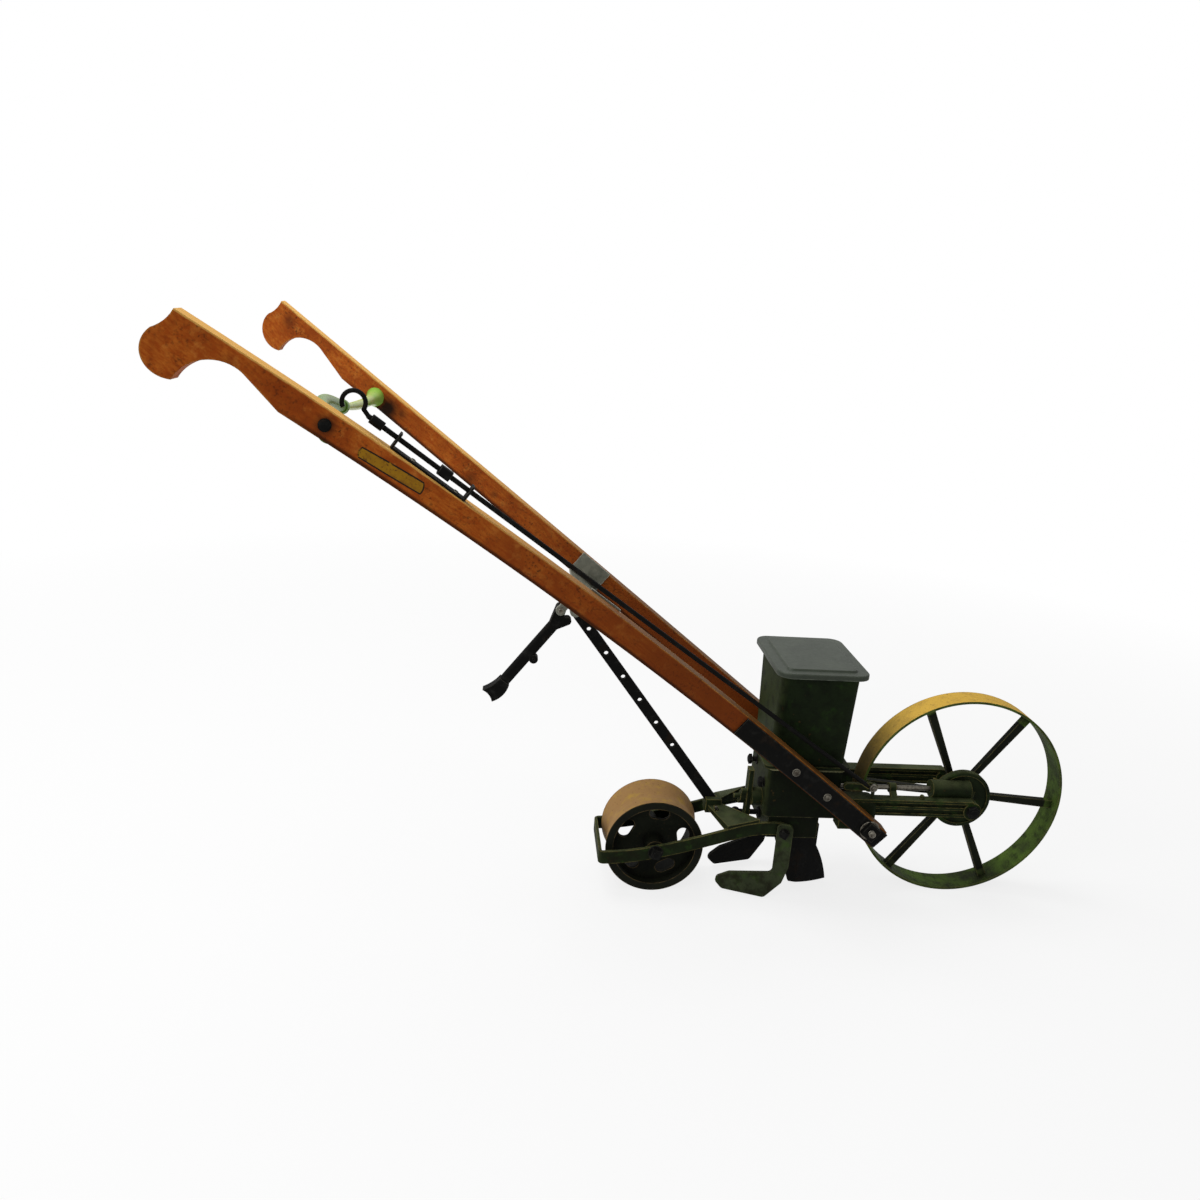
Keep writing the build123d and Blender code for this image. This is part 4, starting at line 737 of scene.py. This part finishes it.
# %% Axle nuts
hexagon_nut = ((0, -0.5), (10.0, -0.5, 1), (10.0, 5.4, 1), (9.4, 7.0), (7.2, 7.2), (6.6, 8.6), (4.2, 9.6),
               (0, 9.9))
square_nut = ((0, -0.5), (12.5, -0.5), (12.5, 1.2), (12.0, 1.7), (8.0, 1.7, 1), (8.0, 7.4, 1), (7.5, 8.6),
              (5.8, 8.8), (5.5, 10.6), (4.2, 11.5), (0, 11.8))
NUT_SIDES = 48
front_axle = front_hub / MM
roller_axle = roller_hub / MM
arm_face = abs(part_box("fork_arm_right")[0].y) / MM
yoke_face = abs(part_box("roller_yoke")[0].y) / MM
front_nuts = []
roller_nuts = []
for side in (NEAR, FAR):
    outward = (0, side, 0)
    arm_end = (front_axle.x, side * arm_face, front_axle.z)
    yoke_end = (roller_axle.x, side * yoke_face, roller_axle.z)
    front_nuts.append(turned(hexagon_nut, arm_end, outward, NUT_SIDES, flats=6, flat_turn=0.3))
    roller_nuts.append(turned(square_nut, yoke_end, outward, NUT_SIDES, flats=4, flat_turn=0.5))
make_piece("front_axle_nuts", front_nuts, iron, "frame")
make_piece("roller_axle_nuts", roller_nuts, iron, "frame")

# %% [markdown]
# Square-headed set bolts reach into the body casting from behind, and others clamp the coverers' shanks
# and the furrow shoe. They are the same profile with its head turned to its own angle.

# %% Set bolts
SHORT_SHANK = 3.0
LONG_SHANK = 9.0
HEAD_HALF = 6.2
HEAD_HEIGHT = 6.5
# Each bolt's node, the start and direction of the ray that finds its face, its shank and its head's turn
SET_BOLTS = (
    ("body_casting", (100.0, 24.0, 214.0), (1.0, 0.0, 0.0), LONG_SHANK, 0.2),
    ("body_casting", (100.0, -34.0, 201.0), (1.0, 0.0, 0.0), SHORT_SHANK, 0.6),
    ("coverer_right", (204.0, -200.0, 127.0), (0.0, 1.0, 0.0), SHORT_SHANK, 0.35),
    ("coverer_left", (204.0, 200.0, 127.0), (0.0, -1.0, 0.0), SHORT_SHANK, 0.9),
    ("opener_shoe", (238.0, -200.0, 98.0), (0.0, 1.0, 0.0), SHORT_SHANK, 0.1),
    ("opener_shoe", (238.0, 200.0, 98.0), (0.0, -1.0, 0.0), SHORT_SHANK, 0.4),
)
set_bolts = []
for node, start, direction, shank, head_turn in SET_BOLTS:
    place, outward = seat(node, start, direction)
    top = shank + HEAD_HEIGHT
    profile = ((0, -1.0), (8.4, -1.0), (8.4, 1.2), (7.9, 1.7), (4.0, 1.7), (4.0, shank),
               (HEAD_HALF, shank, 1), (HEAD_HALF, top - 1.2, 1), (HEAD_HALF - 0.7, top), (0, top + 0.3))
    set_bolts.append(turned(profile, place, outward, sides=40, flats=4, flat_turn=head_turn))
make_piece("set_bolts", set_bolts, iron, "frame")

# %% [markdown]
# A small oil cap stands on the near fork arm, over the drive shaft's bearing. The rod's lower end is held
# in the feed lever's eye by a round collar, and two round-headed screws fasten the rod's guide.

# %% Oil cap, lever collar and guide screws
OVER_OIL_CAP = (427.0, -60.0, 400.0)
oil_cap = ((0, -0.6), (3.8, -0.6), (3.8, 1.8), (2.7, 2.4), (2.7, 3.6), (3.5, 4.0), (3.5, 5.6), (2.4, 6.9),
           (0, 7.3))
arm_top, upwards = seat("fork_arm_right", OVER_OIL_CAP, DOWN)
make_piece("oil_cap", [turned(oil_cap, arm_top, upwards, 24)], arm_green, "frame")

BESIDE_LEVER_EYE = (339.0, -200.0, 214.0)
lever_collar = ((0, -0.5), (6.5, -0.5), (6.5, 3.4), (5.9, 4.2), (3.8, 4.4), (3.8, 6.2), (2.6, 7.2), (0, 7.5))
eye_face, outward = seat("feed_lever", BESIDE_LEVER_EYE, LEFTWARDS)
make_piece("lever_collar", [turned(lever_collar, eye_face, outward, 24)], steel, "frame")

GUIDE_SCREW_X = (-392.0, -336.0)
GUIDE_WIDTH = 16.0
ABOVE_GUIDE = 900.0
guide_screw = ((0, -0.5), (4.4, -0.5), (4.4, 0.6), (3.9, 1.6), (2.6, 2.4), (1.2, 2.75), (0, 2.85))
guide_low, guide_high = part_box("rod_guide")
guide_middle_x = (guide_low.x + guide_high.x) / 2 / MM
guide_y = (guide_low.y + guide_high.y) / 2 / MM
guide_skew = (guide_high.y - guide_low.y - GUIDE_WIDTH * MM) / (guide_high.x - guide_low.x)
screw_grids = []
for x in GUIDE_SCREW_X:
    screw_y = guide_y + guide_skew * (x - guide_middle_x)
    place, upwards = seat("rod_guide", (x, screw_y, ABOVE_GUIDE), DOWN)
    screw_grids.append(turned(guide_screw, place, upwards, 20))
make_piece("guide_screws", screw_grids, steel, "frame")

# %% [markdown]
# The sheet brace is riveted to the handles through its side flanges. Rivets are low domes.

# %% Rivets
BRACE_RIVETS = ((-158.0, 507.0), (-122.0, 487.0))
brace_rivet = ((0, -0.5), (4.6, -0.5), (4.5, 0.5), (3.8, 1.6), (2.4, 2.4), (1.1, 2.7), (0, 2.8))
brace_grids = []
for side in (NEAR, FAR):
    for x, z in BRACE_RIVETS:
        place, inner = seat("middle_brace", (x, 0.0, z), (0.0, side, 0.0))
        brace_grids.append(turned(brace_rivet, place, inner, 24))
make_piece("brace_rivets", brace_grids, zinc, "frame")

# %% [markdown]
# Where the hopper stands on the body casting, a rolled bead closes the joint. Its paint is rubbed bright,
# so it draws a pale line round the drill's middle. It is a small circle carried along the casting's
# rounded outline.

# %% Hopper's foot bead
BODY_CORNER = 8.0
BEAD_RADIUS = 2.0
BEAD_DROP = 0.4
BEAD_PROUD = 0.6
body_low, body_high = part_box("body_casting")
body_middle = (np.array(body_low) + np.array(body_high)) / 2 / MM
body_half = (np.array(body_high) - np.array(body_low)) / 2 / MM
bead_middle = (body_middle[0], body_middle[1], body_high.z / MM - BEAD_RADIUS - BEAD_DROP)
bead_half = body_half[:2] + BEAD_PROUD


def rubbed_enamel():
    """Green enamel worn thin on a bead: pale olive where it is rubbed, green in between."""
    material, tree, where = new_finish("rubbed_enamel")
    skin, bump = skin_bump(tree, where, 3, 0.2)
    colour = layers(
        tree, linear("#6E6C4C"),
        (patches(tree, where, 20, 0.42, 0.7), linear("#39412A")),
        (patches(tree, where, 7, 0.55, 0.75), linear("#9A9670")),
    )
    rough = add(tree, "MapRange", {"Value": skin, "To Min": 0.4, "To Max": 0.65})
    shade(tree, Base_Color=colour, Roughness=rough, IOR=1.5, Specular_IOR_Level=0.25, Normal=bump)
    return material


bead_grid = round_bead(bead_middle, bead_half, BODY_CORNER, BEAD_RADIUS)
make_piece("hopper_foot_bead", [bead_grid], rubbed_enamel(), "frame")

# %% [markdown]
# A paper decal is varnished on to the near handle: a yellow slip with rounded corners and a dark border.
# It is a grid whose corners are drawn in by the squircle formula, laid on the handle's face by three
# rays and the parabola through them. Its border reads the piece's own UV map.

# %% Decal
DECAL_CORNERS = np.array([[(-454.0, 741.5), (-373.0, 693.0)], [(-460.0, 726.5), (-379.0, 675.0)]])
SQUIRCLE = 0.22
DECAL_STEPS = ((0.99, 23), (0.95, 7))
DECAL_PROUD = 0.3

steps_u, steps_v = (np.r_[-1, np.linspace(-inner, inner, count), 1] for inner, count in DECAL_STEPS)
u, v = np.meshgrid(steps_u, steps_v)
across = u * np.sqrt(1 - SQUIRCLE * v ** 2 / 2)
down = v * np.sqrt(1 - SQUIRCLE * u ** 2 / 2)
share_u, share_v = (across[..., None] + 1) / 2, (down[..., None] + 1) / 2
top_line = DECAL_CORNERS[0, 0] + share_u * (DECAL_CORNERS[0, 1] - DECAL_CORNERS[0, 0])
foot_line = DECAL_CORNERS[1, 0] + share_u * (DECAL_CORNERS[1, 1] - DECAL_CORNERS[1, 0])
flat = top_line + share_v * (foot_line - top_line)
knots = np.linspace(DECAL_CORNERS[0, 0], DECAL_CORNERS[1, 1], 3)
knot_y = [seat("handle_right", (x, NEAR * CLEAR_Y, z), LEFTWARDS)[0][1] for x, z in knots]
face_curve = np.polyfit(knots[:, 0], knot_y, 2)
is_rim = (np.abs(u) == 1) | (np.abs(v) == 1)
face_y = np.polyval(face_curve, flat[..., 0]) - np.where(is_rim, -DECAL_PROUD, DECAL_PROUD)
decal_grid = np.stack([flat[..., 0], face_y, flat[..., 1]], -1)


def decal_paper():
    """Varnished yellow paper: a dark printed border round its own UV map's edge, browned in blots."""
    material, tree, where = new_finish("varnished_paper")
    place = add(tree, "SeparateXYZ", {"Vector": where.node.outputs["UV"]})
    from_left = add(tree, "Math", {0: place, 1: 0.5}, operation="SUBTRACT")
    from_foot = add(tree, "Math", {0: place.node.outputs["Y"], 1: 0.5}, operation="SUBTRACT")
    wide = add(tree, "Math", {0: from_left}, operation="ABSOLUTE")
    tall = add(tree, "Math", {0: from_foot}, operation="ABSOLUTE")
    end_border = add(tree, "MapRange", {"Value": wide, "From Min": 0.474, "From Max": 0.48})
    side_border = add(tree, "MapRange", {"Value": tall, "From Min": 0.36, "From Max": 0.38})
    border = add(tree, "Math", {0: end_border, 1: side_border}, operation="MAXIMUM")
    worn = add(tree, "Math", {0: border, 1: patches(tree, where, 14, 0.3, 0.4)}, operation="MULTIPLY")
    colour = layers(
        tree, linear("#93690F"),
        (patches(tree, where, 14, 0.45, 0.7), linear("#7A5010")),
        (patches(tree, where, 4, 0.55, 0.7), linear("#5A3810")),
        (worn, linear("#1E1207")),
    )
    shade(tree, Base_Color=colour, Roughness=0.5, IOR=1.5, Specular_IOR_Level=0.12)
    return material


decal = make_piece("handle_decal", [decal_grid], decal_paper(), "frame")
decal_points = np.empty(len(decal.data.vertices) * 3)
decal.data.vertices.foreach_get("co", decal_points)
decal_points = decal_points.reshape(-1, 3) / MM
corner_index = np.empty(len(decal.data.loops), int)
decal.data.loops.foreach_get("vertex_index", corner_index)
grid_points = decal_grid.reshape(-1, 3)
nearest = np.argmin(((decal_points[:, None] - grid_points[None]) ** 2).sum(-1), 1)
decal_uv = np.stack([u.ravel(), -v.ravel()], -1)[nearest] / 2 + 0.5
uv_map = decal.data.uv_layers.new(name="slip")
uv_map.uv.foreach_set("vector", decal_uv[corner_index].ravel())
print("decal length in mm:", np.linalg.norm(DECAL_CORNERS[0, 1] - DECAL_CORNERS[0, 0]).round(1))

# %% [markdown]
# The camera stands where the photographer stood: right of the drill, a little behind its middle, at
# standing height. Its turn is given as yaw, pitch and roll, and the lens as a focal length on a 36 mm
# sensor, for a square image.

# %% Camera
CAMERA_PLACE = np.array([-259.85, -1523.05, 948.42]) * MM
YAW = 0.0931543
PITCH = 0.2925149
ROLL = 0.0726868
FOCAL_LENGTH = 30.738

ahead = np.array([np.sin(YAW) * np.cos(PITCH), np.cos(YAW) * np.cos(PITCH), -np.sin(PITCH)])
level = np.array([np.cos(YAW), -np.sin(YAW), 0.0])
upright = np.cross(level, ahead)
right_hand = np.cos(ROLL) * level + np.sin(ROLL) * upright
head_up = np.cos(ROLL) * upright - np.sin(ROLL) * level
turn = Matrix(np.column_stack([right_hand, head_up, -ahead]).tolist()).to_4x4()
camera_data = bpy.data.cameras.new("photo_camera")
camera_data.lens = FOCAL_LENGTH
camera_data.sensor_width = 36.0
camera = bpy.data.objects.new("photo_camera", camera_data)
camera.matrix_world = Matrix.Translation(CAMERA_PLACE) @ turn
bpy.context.scene.collection.objects.link(camera)
bpy.context.scene.camera = camera
print("camera at", CAMERA_PLACE.round(3))

# %% [markdown]
# The light is a plain studio: an even white surround, one broad lamp above and behind the drill's rear,
# and a weaker one to the left of the camera. The floor and the surround look white to the camera and to
# shiny faces, while the light that they give stays at a plain level. The floor keeps the shadow near
# the drill, and turns to plain white further out, so that no horizon shows.

# %% Floor and light
SURROUND_LIGHT = 0.38
FLOOR_WHITE = 0.8
FLOOR_SIZE = 60.0
SHADOW_REACH = (0.9, 2.6)
LAMP_TARGET = (0.0, 0.0, 0.4)


def seen_share(tree):
    """1 for a ray from the camera, a shiny face or glass, and 0 for a ray that only carries light."""
    camera_ray = add(tree, "LightPath", {}, "Is Camera Ray")
    glossy_ray = camera_ray.node.outputs["Is Glossy Ray"]
    clear_ray = camera_ray.node.outputs["Is Transmission Ray"]
    seen = add(tree, "Math", {0: camera_ray, 1: glossy_ray}, operation="MAXIMUM")
    return add(tree, "Math", {0: seen, 1: clear_ray}, operation="MAXIMUM")


world = bpy.data.worlds.new("white_studio")
world.use_nodes = True
bpy.context.scene.world = world
sky = world.node_tree
sky_strength = add(sky, "MapRange", {"Value": seen_share(sky), "To Min": SURROUND_LIGHT, "To Max": 1.0})
surround = add(sky, "Background", {"Color": (1, 1, 1, 1), "Strength": sky_strength})
sky.links.new(surround, sky.nodes["World Output"].inputs["Surface"])

floor_mesh = bpy.data.meshes.new("studio_floor")
half_floor = FLOOR_SIZE / 2
floor_corners = np.array([(-1, -1, 0), (1, -1, 0), (1, 1, 0), (-1, 1, 0)]) * half_floor
floor_mesh.from_pydata(floor_corners.tolist(), [], [(0, 1, 2, 3)])
floor = bpy.data.objects.new("studio_floor", floor_mesh)
bpy.context.scene.collection.objects.link(floor)
floor_paint, floor_tree, floor_where = new_finish("white_floor")
matt = add(floor_tree, "BsdfDiffuse", {"Color": (FLOOR_WHITE, FLOOR_WHITE, FLOOR_WHITE, 1)})
white = add(floor_tree, "Emission", {"Color": (1, 1, 1, 1), "Strength": 1.0})
floor_far = add(floor_tree, "VectorMath", {0: floor_where}, "Value", operation="LENGTH")
floor_glow = add(floor_tree, "MapRange", {"Value": floor_far, "From Min": SHADOW_REACH[0],
                                          "From Max": SHADOW_REACH[1], "To Min": FLOOR_WHITE})
white_share = add(floor_tree, "Math", {0: seen_share(floor_tree), 1: floor_glow}, operation="MULTIPLY")
floor_mix = add(floor_tree, "MixShader", {0: white_share, 1: matt, 2: white})
floor_tree.links.new(floor_mix, floor_tree.nodes["Material Output"].inputs["Surface"])
floor.data.materials.append(floor_paint)


def area_lamp(name, place, size, watts):
    """A square area lamp that looks from a place at the drill's middle."""
    data = bpy.data.lights.new(name, "AREA")
    data.size = size
    data.energy = watts
    lamp = bpy.data.objects.new(name, data)
    lamp.location = place
    lamp.rotation_euler = (Vector(LAMP_TARGET) - Vector(place)).to_track_quat("-Z", "Y").to_euler()
    bpy.context.scene.collection.objects.link(lamp)


area_lamp("overhead_lamp", (-1.0, 0.5, 2.9), size=1.8, watts=62.0)
area_lamp("camera_side_lamp", (-2.3, -2.0, 1.9), size=1.6, watts=32.0)
bpy.context.scene.view_settings.view_transform = "Standard"
print("lamps:", len(bpy.data.lights), "floor's width in m:", FLOOR_SIZE)
